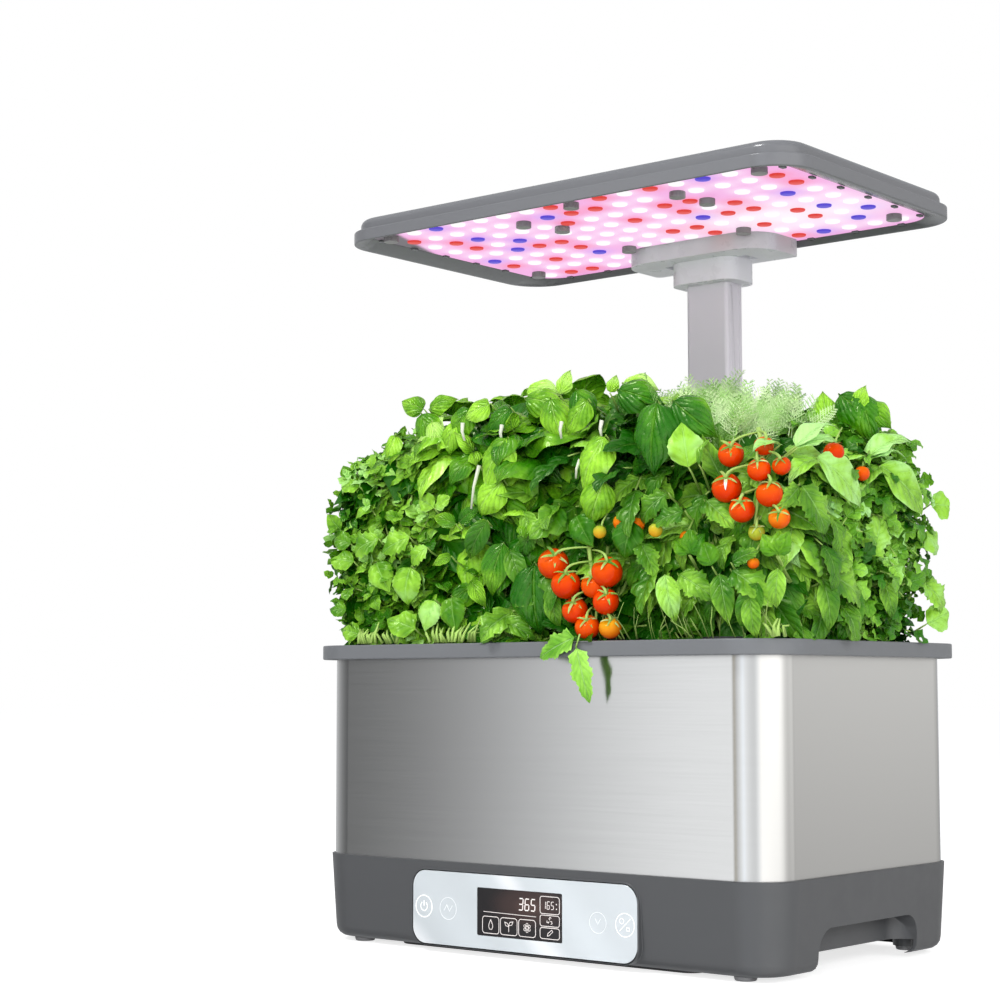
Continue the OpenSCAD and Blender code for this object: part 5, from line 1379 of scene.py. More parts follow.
def grow_compound(batch, kind, forms, low, high, sides, sizes, rng):
    """Plants whose leaves are made up of leaflets: tomato and parsley."""
    leaflet, outside, inside, base, patchy, pairs, sag = {
        "tomato": (sizes.tomato_leaf, 44, 28, 0.37, 0.2, 3, 0.35),
        "parsley": (sizes.parsley_leaf, 180, 60, 0.52, 0.32, 2, 0.15),
    }[kind]
    reach = leaflet * 1.25
    for share, near, far, dim in LAYERS:
        count = int((outside if sides else inside) * share * sizes.leafage)
        tips, away = spread(low, high, sides, 0.032, count, rng)
        tips = tips - away * rng.uniform(near, far, len(tips))[:, None]
        axes = jitter(away + UP * 0.25, 0.25, rng)
        heading = jitter(any_way(axes, rng) * 0.75 + axes, 0.1, rng)
        # The inner layer and the leaves near the deck are painted darker as shade
        tone = base + dim + patchy * patches(tips) + rng.normal(0, 0.12, len(tips)) - shaded(tips)
        roots = tips - axes * reach * 0.8
        compound(batch, forms, roots, heading, axes, reach, leaflet, rng, tone, pairs, sag)
    return tips, axes


def grow_trailing(batch, forms, low, high, sides, sizes, rng):
    """A tomato plant whose long leaves hang down, with a few compound leaves among them."""
    for share, near, far, dim in LAYERS:
        tips, away = spread(low, high, sides, 0.03, int(66 * share * sizes.leafage), rng)
        tips = tips - away * rng.uniform(near, far, len(tips))[:, None]
        axes = jitter(away + UP * 0.1, 0.25, rng)
        pull = np.where(tips[:, 2] < 0.30, 1.4, 0.4)[:, None]
        hanging = unit(away * 0.35 - UP * pull + any_way(axes, rng) * 0.8)
        facing = jitter(away + UP * 0.45, 0.2, rng)
        # The inner layer, the leaves near the deck and each deeper copy below are painted darker as shade
        tone = 0.52 + dim + 0.28 * patches(tips) + rng.normal(0, 0.16, len(tips)) - shaded(tips)
        for k in range(3):
            swing = unit(hanging + any_way(axes, rng) * 0.65)
            batch.place(forms["trailing"][k], tips - away * (0.004 + 0.006 * k), swing, facing,
                        0.036 * rng.uniform(0.7, 1.2, len(tips)), tone - 0.08 * k)
    more, outward = spread(low, high, sides, 0.03, int(26 * sizes.leafage), rng)
    compound(batch, forms["tomato"], more - outward * 0.032, jitter(outward + UP * 0.1, 0.3, rng),
             unit(outward + UP * 0.6), 0.034, 0.026, rng, 0.5, 2, 0.45)
    return tips, axes


def grow_dill(batch, forms, low, high, sides, sizes, rng):
    """Fronds that stand up out of the plant."""
    length = sizes.dill_frond * 0.9
    tips, away = spread(low, high, sides, 0.03, int(130 * sizes.leafage), rng)
    tips = tips - away * 0.004
    axes = jitter(away * 0.6 + UP * 0.9, 0.3, rng)
    for form in forms:
        heading = jitter(axes + any_way(axes, rng) * 0.75, 0.1, rng)
        batch.place(form, tips - axes * 0.5 * length, heading, axes + UP,
                    length * rng.uniform(0.75, 1.15, len(tips)), 0.85 + rng.normal(0, 0.14, len(tips)))
    return tips, axes


def grow_plant(name, kind, sides, forms, sizes, rng):
    """One plant: its sprigs, its inner leaves and its stems."""
    low, high = (Vector(c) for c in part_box(name))
    low.z = DECK + MM
    if name in TRIMS:
        raised, lowered = TRIMS[name]
        low = Vector([c + t for c, t in zip(low, raised)])
        high = Vector([c - t for c, t in zip(high, lowered)])
    middle = (low + high) / 2
    pod = (min(BASKET_COLUMNS, key=lambda x: abs(x - middle.x)),
           min(BASKET_ROWS, key=lambda y: abs(y - middle.y)))
    batch = Batch()
    shade_thicket(batch, forms["dark"][0], low, high, sides, 50 if kind == "dill" else 150 if sides else 80, rng)
    if kind in ("mint", "basil", "lettuce"):
        tips, axes = grow_pairs(batch, kind, forms[kind], low, high, sides, sizes, rng)
    elif kind in ("tomato", "parsley"):
        tips, axes = grow_compound(batch, kind, forms[kind], low, high, sides, sizes, rng)
    elif kind == "trailing":
        tips, axes = grow_trailing(batch, forms, low, high, sides, sizes, rng)
    else:
        tips, axes = grow_dill(batch, forms["dill"], low, high, sides, sizes, rng)
    thick = {"basil": 0.0016, "tomato": 0.0015, "trailing": 0.0014}.get(kind, 0.0010)
    stems_to(batch, pod, tips, axes, thick, rng)
    batch.hold(high.z)
    return batch.done(name.replace("plant_", "") + "_leaves")


# How each kind of leaf looks: ribs, their sweep, roughness, depth of blisters, how pale it grows, gloss
LEAF_LOOKS = {
    "mint": (4, 0.8, 0.36, 0.0004, 2.2, 0.5), "lettuce": (6, 0.9, 0.4, 0.0005, 1.6),
    "basil": (5, 1.8, 0.29, 0.0007, 2.4, 0.6), "tomato": (6, 0.8, 0.34, 0.0006, 2.6, 0.5),
    "parsley": (4, 0.8, 0.34, 0.0004, 2.2, 0.5),
}


def leaf_skin(kind, colours):
    """The slot and the finish of a kind of leaf, made the first time it is asked for."""
    kind = "tomato" if kind == "trailing" else kind
    slot = "leaf_" + kind
    finish = bpy.data.materials.get(slot + "_skin")
    if not finish and kind == "dill":
        finish = feather_finish(slot + "_skin", colours.dill)
    elif not finish:
        colour = colours.tomato_green if kind == "tomato" else getattr(colours, kind)
        finish = leaf_finish(slot + "_skin", colour, *LEAF_LOOKS[kind])
    return slot, finish


def stem_green():
    """The finish that every stem shares."""
    return bpy.data.materials.get("stem_skin") or stem_finish("stem_skin", (0.34, 0.52, 0.12))


def build_plants(sizes, colours, chosen, seed):
    """Grows the named kinds of plant and dresses them."""
    rng = np.random.default_rng(seed)
    forms = plant_forms(rng)
    for name, (kind, sides) in PLANTS.items():
        if kind in chosen:
            piece = grow_plant(name, kind, sides, forms, sizes, rng)
            slot, finish = leaf_skin(kind, colours)
            dress(piece, finish, stem_green())
            mount(piece, "planter", slot, name)


# ---------- leading leaves ----------

# Leaves that lead their plants: shape, x, y and z of the stalk, length, angle up from the right, tone.
# Places and lengths in this table and the next ones are in millimetres.
LEADING = (
    # Big ribbed basil
    ("basil", -10, -124, 347, 42, 236, .85), ("basil", -15, -122, 318, 36, 220, .72),
    ("basil", 72, -124, 342, 42, 238, .86), ("basil", 69, -122, 313, 34, 250, .66),
    ("basil", 113, -124, 361, 50, 262, .04), ("basil", 120, -118, 361, 40, 318, .22),
    ("basil", -94, -118, 371, 30, 295, .45), ("basil", -82, -120, 364, 20, 290, 1.0),
    ("basil", -96, -112, 374, 24, 160, .55), ("basil", -92, -112, 374, 24, 20, .65),
    ("basil", -118, -118, 358, 24, 250, .85), ("basil", -50, -116, 371, 30, 230, .28),
    ("basil", -5, -112, 374, 32, 345, .50), ("basil", 20, -116, 372, 32, 285, .62),
    ("basil", -14, -116, 368, 28, 215, .22), ("basil", 75, -116, 372, 36, 340, .12),
    ("basil", -10, -104, 382, 28, 350, .92), ("basil", 22, -108, 374, 20, 75, 1.0),
    ("basil", 72, -106, 378, 28, 350, .92), ("basil", 62, -106, 372, 14, 70, 1.0),
    ("basil", -30, -118, 372, 26, 200, .75), ("basil", 40, -114, 376, 28, 300, .20),
    ("basil", 52, -116, 368, 30, 230, .55), ("basil", -62, -117, 362, 26, 245, .66),
    # Basil sprigs over the right truss
    ("smooth", 198, -110, 327, 28, 178, 1.1), ("smooth", 202, -98, 327, 42, 40, 1.2),
    ("smooth", 203, -98, 326, 36, 22, 1.1), ("smooth", 204, -16, 326, 31, 170, 1.1),
    ("smooth", 204, -16, 327, 46, 30, 1.2), ("smooth", 205, -14, 326, 40, 20, 1.1),
    ("smooth", 204, -77, 322, 54, 328, 1.05), ("smooth", 204, -77, 321, 32, 195, 1.0),
    ("smooth", 204, 2, 323, 56, 327, 1.0), ("smooth", 204, 2, 322, 30, 200, 1.0),
    ("lobed", 204, -97, 304, 38, 306, .72), ("lobed", 203, -96, 303, 24, 225, .62),
    ("round", 135, -122, 317, 29, 97, .98), ("basil", 176, -8, 372, 36, 318, .22),
    ("basil", 186, -6, 357, 22, 70, .85), ("basil", 189, -4, 371, 36, 290, .30),
    ("basil", 189, 0, 366, 28, 320, .55), ("basil", 182, -20, 348, 34, 275, .65),
    ("basil", 170, -12, 352, 24, 100, .80),
    # Hanging leaves low on the right
    ("smooth", 117, -123, 250, 33, 283, .68), ("smooth", 158, -123, 249, 33, 283, .70),
    ("lobed", 165, -121, 252, 36, 326, .60), ("lobed", 124, -119, 251, 32, 328, .56),
    ("smooth", 199, -121, 251, 26, 266, .74), ("smooth", 203, -70, 246, 34, 280, .64),
    ("lobed", 203, -65, 250, 42, 336, .60), ("smooth", 204, 3, 249, 28, 286, .72),
    ("ribbed", 152, -122, 254, 19, 112, .45), ("ribbed", 198, -119, 259, 17, 62, .42),
    ("ribbed", 198, -119, 259, 17, 92, .48), ("ribbed", 197, -119, 259, 17, 126, .42),
    ("ribbed", 135, -121, 262, 17, 56, .38), ("ribbed", 135, -121, 262, 17, 92, .44),
    ("ribbed", 134, -121, 262, 16, 130, .38), ("lobed", 166, -122, 256, 20, 20, .62),
    ("lobed", 204, -70, 254, 30, 15, .62), ("ribbed", 204, -71, 251, 34, 142, .50),
    ("smooth", 181, -124, 234, 27, 275, .52), ("smooth", 204, -42, 233, 28, 278, .50),
    ("smooth", 184, -120, 243, 36, 249, .28), ("smooth", 203, -32, 243, 40, 250, .28),
    ("lobed", 204, -16, 262, 36, 60, .95), ("round", 201, 74, 303, 25, 355, .66),
    ("round", 201, 64, 283, 22, 318, 1.0), ("round", 201, 66, 222, 24, 20, .98),
    ("lobed", 202, 60, 250, 34, 320, .74), ("lobed", 96, -120, 272, 26, 300, .52),
    ("ribbed", 92, -121, 286, 28, 250, .45), ("lobed", 132, -122, 290, 26, 200, .5),
    ("lobed", 118, -120, 302, 30, 215, .62), ("lobed", 146, -121, 296, 28, 320, .58),
    ("smooth", 143, -122, 318, 20, 80, .66),
    # Herbs low on the left and in the middle
    ("teal", -57, -123, 291, 20, 165, .50), ("teal", -55, -122, 292, 20, 30, .42),
    ("teal", -61, -123, 269, 17, 200, .52), ("teal", -15, -123, 276, 39, 252, .34),
    ("smooth", -9, -123, 271, 33, 295, .50), ("basil", 11, -122, 262, 52, 272, .0),
    ("basil", 24, -118, 254, 40, 288, .12), ("smooth", 26, -122, 243, 27, 275, .60),
    ("round", -94, -123, 220, 25, 165, .82), ("round", -105, -122, 217, 17, 60, .9),
    ("round", -15, -123, 218, 20, 150, .96), ("smooth", -17, -122, 225, 30, 335, .48),
    ("round", -153, -118, 323, 16, 180, .50), ("round", -161, -118, 282, 18, 165, .72),
    ("round", -165, -118, 235, 15, 180, .66), ("round", -152, -118, 217, 18, 165, .96),
    ("ribbed", -132, -123, 268, 26, 300, .78), ("ribbed", -98, -123, 264, 30, 255, .80),
    ("round", -156, -120, 269, 21, 175, .72), ("toothed", -130, -122, 284, 27, 200, .78),
    ("toothed", -100, -123, 284, 26, 205, .78), ("round", -77, -123, 303, 17, 150, .96),
    ("round", -76, -123, 303, 15, 30, .92), ("toothed", -84, -122, 276, 20, 215, .85),
    ("ribbed", -62, -122, 242, 26, 280, .55), ("teal", -44, -122, 252, 22, 300, .48),
    ("ribbed", -76, -123, 240, 24, 250, .88), ("smooth", -30, -122, 292, 34, 240, .40),
    ("smooth", 2, -122, 296, 30, 300, .44), ("ribbed", 30, -120, 300, 28, 250, .40),
    ("ribbed", 44, -120, 292, 26, 300, .36), ("lobed", 14, -121, 286, 26, 230, .42),
)
# Pale stalks in the gaps: x and z of both ends, radius
STALKS = ((-51, 358, -50, 346, 1.5), (-16, 354, -17, 343, 1.5), (35, 352, 34, 341, 1.4),
          (68, 350, 67, 339, 1.5), (-36, 328, -44, 299, 1.4), (50, 326, 46, 314, 1.2))
# Tufts of short stems along the deck's front: first and last x, how many, level of their tips
TUFTS = ((-148, -132, 11, 219), (-82, -40, 22, 218), (-128, -112, 6, 216), (194, 203, 6, 218))
# Thin stems in the shade: first and last x, how many, lowest and highest tip
SHADE_STEMS = (58, 202, 38, 217, 234)
# Crowns of dill between the trusses and the mast: ends in x and in y, level, how many fronds
CROWNS = ((98, 176, -104, -24, 340, 105), (30, 96, -24, 20, 358, 70), (-4, 94, 24, 80, 368, 110))
STEM_FOOT = 209  # where stems start, just above the deck
LEADING_TOP = 0.405  # metres


def leading_forms():
    """The plant whose finish each shape has, and two forms of the shape, bent and twisted differently."""
    shapes = {
        "basil": ("basil", 24, 12, ovate(0.34, 0.6, 0.72), ((0.7, 0.2), (1.0, -0.2)),
                  dict(fold=0.22, wave=0.03, curl=0.6, quilt=0.13, sweep=1.8)),
        "smooth": ("tomato", 14, 8, ovate(0.23, 0.6, 0.7), ((0.7, 0.25), (1.0, -0.3)),
                   dict(fold=0.5, wave=0.04, curl=0.3, quilt=0.05, ribs=6)),
        "teal": ("basil", 14, 8, ovate(0.27, 0.5, 0.7), ((0.4, 0.0), (0.8, 0.0)),
                 dict(fold=0.35, wave=0.03, curl=0.3, quilt=0.03)),
        "lobed": ("tomato", 20, 8, lobed(0.31, 3, 0.26), ((0.5, 0.2), (0.9, -0.2)),
                  dict(teeth=0.10, fold=0.25, wave=0.05, curl=0.2, quilt=0.14, ribs=6)),
        "ribbed": ("mint", 20, 10, ovate(0.38, 0.5, 0.75), ((0.4, 0.2), (0.9, -0.2)),
                   dict(teeth=0.04, wave=0.03, curl=0.3, quilt=0.24)),
        "round": ("mint", 14, 8, ovate(0.40, 0.35, 0.8), ((0.4, 0.3), (0.8, -0.3)),
                  dict(teeth=0.03, fold=0.25, wave=0.06, curl=0.3, quilt=0.10, ribs=4)),
        "toothed": ("mint", 14, 6, ovate(0.36, 0.5, 0.8), ((0.4, 0.2), (0.8, -0.2)),
                    dict(teeth=0.13, wave=0.05, curl=0.2, quilt=0.12)),
    }
    return {name: (plant, [leaf_form(along, across, width, bend=bend, stalk=0.06, twist=twist, **looks)
                           for bend, twist in bends])
            for name, (plant, along, across, width, bends, looks) in shapes.items()}


def place_leading_leaves(batches, rng):
    """Sets out the leaves of the table, facing the room or, past the right-hand corner, that side."""
    shapes = leading_forms()
    for number, (shape, x, y, z, length, angle, tone) in enumerate(LEADING):
        plant, forms = shapes[shape]
        right = x > 190 and y > -115
        across = np.array([0.25, 0.97, 0]) if right else np.array([0.97, 0.12, 0])
        outward = np.array([0.85, -0.42, 0.32]) if right else np.array([0.30, -0.88, 0.36])
        turn = math.radians(angle)
        along = across * math.cos(turn) + UP * math.sin(turn) + outward * 0.22
        root = np.array((x, y, z)) * MM - outward * 0.004
        face = outward + rng.normal(0, 0.12, 3)
        if shape == "smooth" and not 200 < angle < 340:
            face = outward * 0.45 + UP * 0.9
        batches[plant].place(forms[number % len(forms)], root, along, face, length * MM, tone)
        batches[plant].tube([root - outward * 0.03 - unit(along) * 0.004, root - outward * 0.008, root],
                            0.0009, 0.6)


def place_stalks(batch, rng):
    """Pale stalks in the gaps, tufts of short stems on the deck, and thin stems in the shade behind them."""
    for x0, z0, x1, z1, radius in STALKS:
        path = np.array([(x0, -121, z0), ((x0 + x1) / 2, -122, (z0 + z1) / 2), (x1, -120, z1)]) * MM
        batch.tube(path, radius * MM, 0.5, PALE, 8)
    for x0, x1, count, top in TUFTS:
        for i in range(count):
            x = x0 + (x1 - x0) * (i + rng.random()) / count
            lean = (x - (x0 + x1) / 2) * 0.35 + rng.normal(0, 2.2)
            tip = top + rng.normal(0, 3)
            path = np.array([(x, -119 + rng.normal(0, 2), STEM_FOOT), (x + lean * 0.4, -121, 215),
                             (x + lean, -118, tip)]) * MM
            batch.tube(path, rng.uniform(0.0008, 0.0014), 0.7 + rng.normal(0, 0.15), sides=6)
    x0, x1, count, lowest, highest = SHADE_STEMS
    for x in rng.uniform(x0, x1, count):
        tip, lean = rng.uniform(lowest, highest), rng.normal(0, 6)
        path = np.array([(x, -113, STEM_FOOT), (x + lean * 0.3, -117, (tip + STEM_FOOT) / 2),
                         (x + lean, -119, tip)]) * MM
        batch.tube(path, rng.uniform(0.0003, 0.0006), rng.uniform(0.0, 0.55), sides=4)


def place_crowns(batch, rng):
    """Feathery crowns of dill."""
    fronds = [frond_form(rng) for i in range(3)]
    for x0, x1, y0, y1, level, count in CROWNS:
        for i in range(count):
            x, y = rng.uniform(x0, x1), rng.uniform(y0, y1)
            root = np.array((x, y, level - 6 + rng.normal(0, 5))) * MM
            along = np.array([(x - (x0 + x1) / 2) * 0.010 + rng.normal(0, 0.4), rng.normal(-0.2, 0.4), 1.0])
            face = np.array([0.45, -0.85, 0.3]) + rng.normal(0, 0.3, 3)
            batch.place(fronds[i % 3], root, along, face, rng.uniform(0.022, 0.034), rng.uniform(0.45, 1.15))


def build_leading_leaves(sizes, colours):
    """The large leaves, pale stalks and dill crowns that stand out on the side facing the room."""
    rng = np.random.default_rng(5)
    batches = {plant: Batch() for plant in ("basil", "tomato", "mint", "dill")}
    place_leading_leaves(batches, rng)
    place_stalks(batches["mint"], rng)
    place_crowns(batches["dill"], rng)
    white = stem_finish("stalk_pale", (0.72, 0.74, 0.62))
    for plant, batch in batches.items():
        batch.hold(LEADING_TOP)
        piece = batch.done("leading_" + plant + "_leaves")
        slot, finish = leaf_skin(plant, colours)
        dress(piece, finish, stem_green(), white)
        mount(piece, "planter", slot)


# ---------- tomatoes ----------

# Tomatoes of both trusses: x, y and height above the deck in millimetres, radius, tone
FRONT_FRUIT = ((27, -120, 51, 10.4, .78), (39, -122, 37, 9.8, .8), (71, -120, 44, 10.2, .76),
               (59, -118, 36, 8.6, .7), (44, -119, 20, 8.6, .8), (70, -120, 25, 8.6, .85),
               (54, -119, 9, 8.2, .72), (71, -117, 8.4, 7.4, .42))
RIGHT_FRUIT = ((162, -113, 114, 8.2, .8), (184, -110, 118, 6.2, .68), (160, -115, 93, 9.4, .82),
               (183, -114, 103, 7.4, .76), (196, -109, 105, 5.9, .74), (171, -115, 79, 8.2, .8),
               (189, -112, 88, 8.4, .7), (194, -109, 73, 6.8, .52), (178, -110, 65, 5.2, .08))
# Each truss: x and y of its stem, height of the stem's lower end above the deck, its tomatoes
TRUSSES = ((54, -113, 12, FRONT_FRUIT), (178, -107, 64, RIGHT_FRUIT))
# Tomatoes on their own: x, y, z, radius, tone
LONE_FRUIT = ((66, -121, 278, 4.4, .08), (110, -121, 277, 4.6, .10), (78, -114, 284, 5.4, .40),
              (90, -113, 282, 4.8, .44), (203, -59, 325, 6.6, .74), (205, -28, 314, 5.0, .56),
              (128, -113, 272, 4.4, .44), (178, -114, 254, 3.8, .44))
SEPALS = 5


def fruit_form():
    """A cherry tomato of radius 1, dimpled where its calyx sits."""
    rest_mode()
    bpy.ops.mesh.primitive_uv_sphere_add(segments=24, ring_count=16, radius=1)
    fruit = bpy.context.object
    uvs = []
    for v in fruit.data.vertices:
        up, turn = v.co.z, math.atan2(v.co.y, v.co.x)
        uvs.append((turn / 6.2832 + 0.5, up / 2 + 0.5))
        v.co.z = up * 0.97 - 0.20 * max(0.0, up - 0.72) / 0.28
        ridge = 1 + 0.012 * math.cos(5 * turn) * max(0, up)
        v.co.x *= ridge
        v.co.y *= ridge
    return taken(fruit, uvs)


def sepal_form():
    """One pointed sepal a unit long, laid out over the shoulder of its fruit."""
    return leaf_form(6, 2, lambda u: max(0.01, 0.15 * (1 - u) ** 0.7 * (0.6 + u)), fold=0.4)


def hang_lone_fruit(batch, fruit, sepal, rng):
    """Small tomatoes by themselves, each on a short stalk."""
    for x, y, z, radius, tone in LONE_FRUIT:
        centre, radius = np.array((x, y, z)) * MM, radius * MM
        lean = unit(np.array([0.1, 0.25, 1.0]) + rng.normal(0, 0.15, 3))
        batch.place(fruit, centre, (1, 0, 0), lean, radius, tone)
        top = centre + lean * radius * 0.8
        batch.tube([top, top + lean * 0.004, top + np.array([-0.002, 0.012, 0.012])], 0.0009, 0.6)
        for k in range(SEPALS):
            out = around(lean[None, :], np.array([k * 1.2566]))[0]
            batch.place(sepal, top, out + lean * 0.25, lean, radius, 0.62, CALYX)


def hang_truss(batch, fruit, sepal, rng, x0, y0, lower, group):
    """One truss: its stem, and each tomato with its calyx and a stalk that joins the stem above it."""
    top = max(z for x, y, z, radius, tone in group) + 12
    stem = [(x0 + 3 * math.sin(z / 14), y0, DECK / MM + z) for z in np.linspace(top, lower, 12)]
    batch.tube(np.array(stem) * MM, 0.0016, 0.55, sides=6)
    for x, y, z, radius, tone in group:
        centre, joint = (np.array(p) * MM for p in (
            (x, y, DECK / MM + z), (x0, y0, DECK / MM + min(top - 2, z + radius + 5))))
        radius *= MM
        lean = np.array([rng.uniform(0.2, 0.6), rng.uniform(-0.85, -0.4), 0.68])
        lean = unit(lean + rng.normal(0, 0.08, 3))
        batch.place(fruit, centre, (1, 0, 0), lean, radius, tone)
        cap = centre + lean * radius * 0.86
        turn = rng.uniform(0, FULL_TURN)
        for k in range(SEPALS):
            out = around(lean[None, :], np.array([turn + k * 1.2566 + rng.normal(0, 0.1)]))[0]
            batch.place(sepal, cap, out + lean * rng.uniform(0.0, 0.25), lean, radius * rng.uniform(0.8, 1.1),
                        0.5 + rng.normal(0, 0.12), CALYX)
        knee = cap + lean * radius * 0.7 + UP * 0.002
        batch.tube(bowed(cap, knee, joint, 8), 0.0011, 0.6, sides=6)


def hang_rim_leaves():
    """Two leaves that hang over the rim beside the front truss."""
    rim = Batch()
    forms = [leaf_form(20, 8, lobed(width, 3, 0.26), teeth=0.09, fold=0.25, bend=bend, wave=0.03, curl=0.1,
                       stalk=0.06, quilt=0.10, ribs=6) for width, bend in ((0.27, 0.25), (0.20, 0.35))]
    roots = np.array([(52, -128, 211), (52, -128.5, 205)]) * MM
    rim.place(forms[0], roots[0], (-0.93, -0.05, -0.36), (0.25, -0.93, 0.35), 0.035, 0.70)
    rim.place(forms[1], roots[1], (0.30, -0.06, -0.95), (0.45, -0.88, 0.15), 0.038, 0.66)
    rim.tube(np.array([(54, -112, 216), (54, -120, 215), (53, -126, 212), (52, -128, 205)]) * MM, 0.0010, 0.6)
    piece = rim.done("rim_leaves")
    dress(piece, leaf_finish("leaf_rim", (0.15, 0.42, 0.03), 6, 0.8, 0.4, 0.0005, 1.9), stem_green())
    mount(piece, "planter", "leaf_tomato")


def build_fruit(sizes, colours):
    """Lone cherry tomatoes, the two trusses, and the leaves that hang over the rim."""
    rng = np.random.default_rng(71)
    fruit, sepal = fruit_form(), sepal_form()
    batch = Batch()
    hang_lone_fruit(batch, fruit, sepal, rng)
    for truss in TRUSSES:
        hang_truss(batch, fruit, sepal, rng, *truss)
    piece = batch.done("cherry_tomatoes")
    dress(piece, fruit_finish("tomato_red", colours.fruit), stem_green(),
          leaf_finish("calyx_green", (0.34, 0.50, 0.10), 3, 0.3, 0.5, 0.0001, 1.5))
    mount(piece, "planter", "tomato_red", "tomato_trusses")
    hang_rim_leaves()


# ---------- stage ----------

def light(name, place, target, size, power):
    """A softbox that looks at its target. Only the key light shows in reflections."""
    data = bpy.data.lights.new(name, "AREA")
    data.shape, data.size, data.size_y = "RECTANGLE", size[0], size[1]
    data.energy = power
    lamp = bpy.data.objects.new(name, data)
    lamp.location = place
    lamp.rotation_euler = (Vector(target) - Vector(place)).to_track_quat("-Z", "Y").to_euler()
    bpy.context.scene.collection.objects.link(lamp)
    lamp.visible_glossy = name == "key"


# Bright and dark panels all round the room: azimuth in degrees, and how light each one is, up to 255
STUDIO = ((-180, 150), (-110, 170), (-70, 120), (-46, 84), (-43, 98), (-41.5, 128), (-40, 164), (-38, 202),
          (-36.5, 226), (-34.5, 240), (-32.5, 243), (-30, 206), (-26, 150), (-23, 160), (-17, 186), (-8, 219),
          (-1, 244), (7, 228), (15, 216), (22, 208), (30, 206), (37, 232), (45, 262), (90, 262), (101, 246),
          (110, 210), (120, 190), (135, 200), (144, 172), (150, 184), (156, 178), (180, 150))
# Tints of the panels from one azimuth on
TINTS = ((-180, (0.985, 1, 1.025)), (-29, (1.03, 0.97, 0.83)), (-22, (0.985, 1, 1.025)),
         (-2, (0.95, 1.0, 1.07)), (2, (0.985, 1, 1.025)), (40, (1.01, 1, 0.985)))
REFLECTION, AMBIENT = 1.7, 0.42
# Softboxes: place, point that each one looks at, size, power
LIGHTS = {
    "key": ((-0.5, -1.7, 2.1), (0, 0, 0.25), (0.7, 0.7), 33),
    "front": ((1.3, -2.0, 0.58), (0, 0, 0.42), (0.8, 0.5), 25),
    "side": ((2.2, -0.2, 1.3), (0, 0, 0.25), (1.0, 1.2), 18),
    "rear": ((-0.4, 2.2, 1.9), (0, 0, 0.3), (1.8, 1.0), 14),
}
# The camera: lens and sensor width in millimetres, place in metres, tilt and turn in degrees
LENS, SENSOR, CAMERA_AT, TILT, TURN = 75.17, 36, (0.876, -1.191, 0.178), 95.14, 39.87


def studio_world(colours):
    """White for the camera, soft bright and dark panels for reflections, plain light for the rest."""
    world = bpy.data.worlds.new("studio")
    bpy.context.scene.world = world
    world.use_nodes = True
    world.node_tree.nodes.clear()
    g = Graph(world.node_tree)

    def background(colour, strength):
        node = g.add("ShaderNodeBackground")
        g.feed(node.inputs["Color"], colour)
        g.feed(node.inputs["Strength"], strength)
        return node.outputs[0]

    def either(share, a, b):
        node = g.add("ShaderNodeMixShader")
        for socket, value in zip(node.inputs, (share, a, b)):
            g.feed(socket, value)
        return node.outputs[0]

    stops = []
    for azimuth, level in STUDIO:
        value = (level / 255) ** 2.2 / colours.steel[0] / REFLECTION
        tint = [colour for start, colour in TINTS if azimuth >= start][-1]
        stops.append(((azimuth + 180) / 360, [value * t for t in tint]))
    x, y, z = g.split(g.add("ShaderNodeTexCoord").outputs["Generated"])
    angle = g.math("ARCTAN2", x, g.math("MULTIPLY", y, -1))
    panels = g.ramp(g.span(angle, -math.pi, math.pi, smooth=False), stops)
    studio = g.mix(g.span(z, 0.25, 0.6), panels, (0.34, 0.35, 0.36))
    path = g.add("ShaderNodeLightPath").outputs
    plain = either(path["Is Glossy Ray"], background((1, 1, 1, 1), AMBIENT), background(studio, REFLECTION))
    seen = g.math("MAXIMUM", path["Is Camera Ray"], path["Is Transmission Ray"])
    final = either(seen, plain, background((1, 1, 1, 1), 1.0))
    g.feed(g.add("ShaderNodeOutputWorld").inputs["Surface"], final)


def build_stage(sizes, colours):
    """Floor, backdrop light, lamps and camera."""
    scene = bpy.context.scene
    studio_world(colours)
    rest_mode()
    bpy.ops.mesh.primitive_plane_add(size=30)
    floor = named(bpy.context.object, "floor")
    floor.visible_glossy = False
    f = Finish("floor_pale", (0.62, 0.62, 0.62), 0.9, specular_ior_level=0.0)
    f.set("Base Color", f.mix(f.noise(3, 2, 0.5), (0.61, 0.61, 0.61), (0.63, 0.63, 0.63)))
    path = f.add("ShaderNodeLightPath").outputs
    seen = f.math("MAXIMUM", path["Is Camera Ray"], path["Is Transmission Ray"])
    f.set("Emission Color", (1, 1, 1, 1))
    f.set("Emission Strength", f.math("MULTIPLY", seen, 0.74))
    dress(floor, f.material)
    for name, (place, target, size, power) in LIGHTS.items():
        light(name, place, target, size, power)
    data = bpy.data.cameras.new("camera")
    data.lens, data.sensor_width = LENS, SENSOR
    camera = bpy.data.objects.new("camera", data)
    camera.location = CAMERA_AT
    camera.rotation_euler = (math.radians(TILT), 0, math.radians(TURN))
    scene.collection.objects.link(camera)
    scene.camera = camera
    scene.view_settings.view_transform = "Standard"


# ---------- add-on ----------

def operator(idname, label, text, work):
    """An operator class that runs one piece of work with the scene's settings."""
    def execute(self, context):
        work(context.scene.garden_sizes, context.scene.garden_colours)
        return {"FINISHED"}
    return type("GARDEN_OT_" + idname, (bpy.types.Operator,), {
        "__doc__": text, "bl_idname": "garden." + idname, "bl_label": label,
        "bl_options": {"REGISTER", "UNDO"}, "execute": execute})


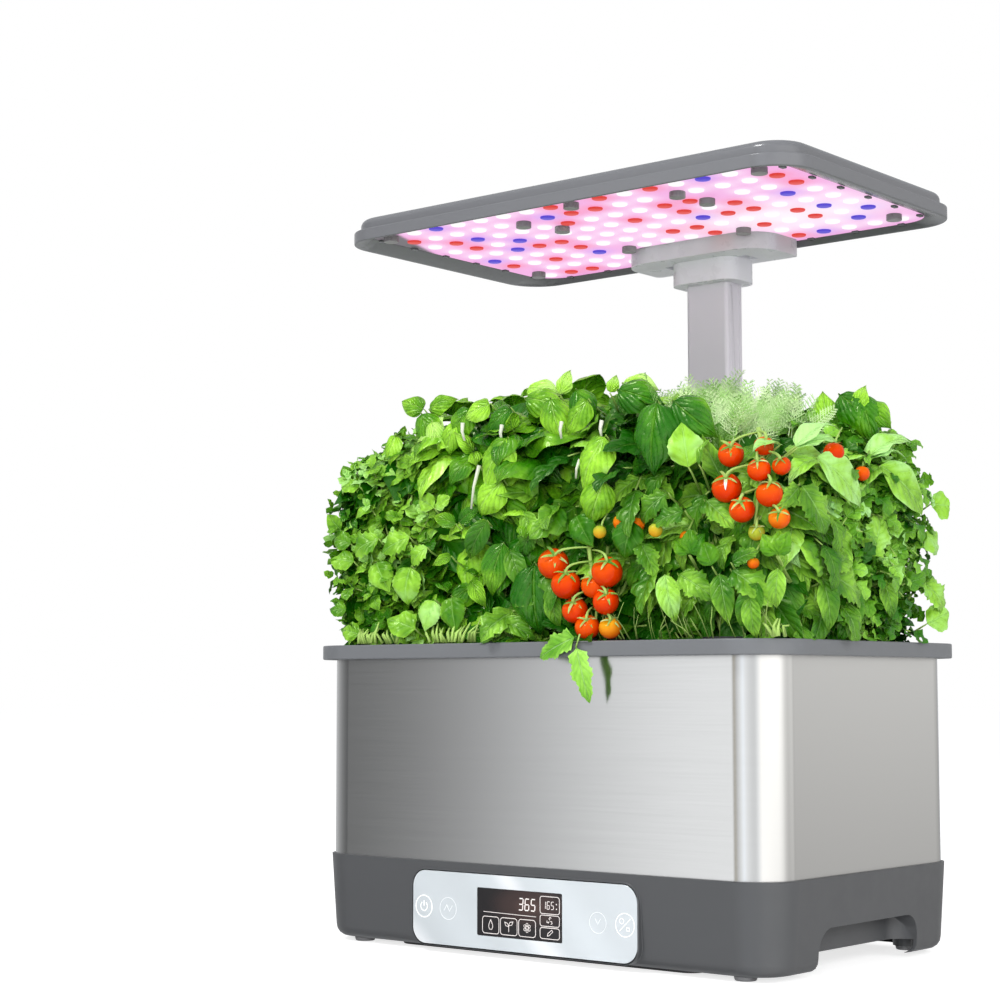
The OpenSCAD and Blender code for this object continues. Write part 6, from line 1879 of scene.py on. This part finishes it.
OPERATORS = (
    operator("inner_parts", "Inner Parts", "Finish the parts inside the planter and the mast",
             finish_inner_parts),
    operator("planter", "Planter", "Round and finish the base, sleeve, spine, deck and lid", build_planter),
    operator("fascia", "Fascia", "Finish the control fascia and draw its marks", build_fascia),
    operator("mast", "Mast", "Round and finish the mast, its collar and the lamp's hub", build_mast),
    operator("lamp_housing", "Lamp Housing", "Round and finish the lamp's bezel, cover and pegs",
             build_lamp_housing),
    operator("leds", "LEDs", "Light the LED board and set its lenses", build_leds),
    operator("lead", "Curly Lead", "Wind the curly lead inside the mast", build_lead),
    operator("mint", "Mint and Lettuce", "Grow the mint and the leaf lettuce",
             lambda s, c: build_plants(s, c, ("mint", "lettuce"), 11)),
    operator("basil", "Basil", "Grow the basil", lambda s, c: build_plants(s, c, ("basil",), 23)),
    operator("tomato", "Tomato Plants", "Grow the tomato plants",
             lambda s, c: build_plants(s, c, ("tomato", "trailing"), 37)),
    operator("parsley", "Parsley and Dill", "Grow the parsley and the dill",
             lambda s, c: build_plants(s, c, ("parsley", "dill"), 53)),
    operator("leading", "Leading Leaves", "Set the large leaves and pale stalks that face the room",
             build_leading_leaves),
    operator("fruit", "Cherry Tomatoes", "Hang the two trusses of cherry tomatoes", build_fruit),
    operator("stage", "Stage", "Set the floor, the lights and the camera", build_stage),
)


class GARDEN_PT_panel(bpy.types.Panel):
    """The garden's settings and the operators that make its pieces"""
    bl_label = "Countertop Garden"
    bl_idname = "GARDEN_PT_panel"
    bl_space_type = "VIEW_3D"
    bl_region_type = "UI"
    bl_category = "Garden"

    def draw(self, context):
        column = self.layout.column()
        for group in (context.scene.garden_sizes, context.scene.garden_colours):
            for key in group.__annotations__:
                column.prop(group, key)
        for made in OPERATORS:
            column.operator(made.bl_idname)


CLASSES = (GardenSizes, GardenColours, *OPERATORS, GARDEN_PT_panel)


def register():
    for made in CLASSES:
        bpy.utils.register_class(made)
    bpy.types.Scene.garden_sizes = PointerProperty(type=GardenSizes)
    bpy.types.Scene.garden_colours = PointerProperty(type=GardenColours)


def unregister():
    del bpy.types.Scene.garden_sizes
    del bpy.types.Scene.garden_colours
    for made in reversed(CLASSES):
        bpy.utils.unregister_class(made)


def main():
    register()
    for made in OPERATORS:
        getattr(bpy.ops.garden, made.bl_idname.split(".")[1])()


if __name__ == "__main__":
    main()
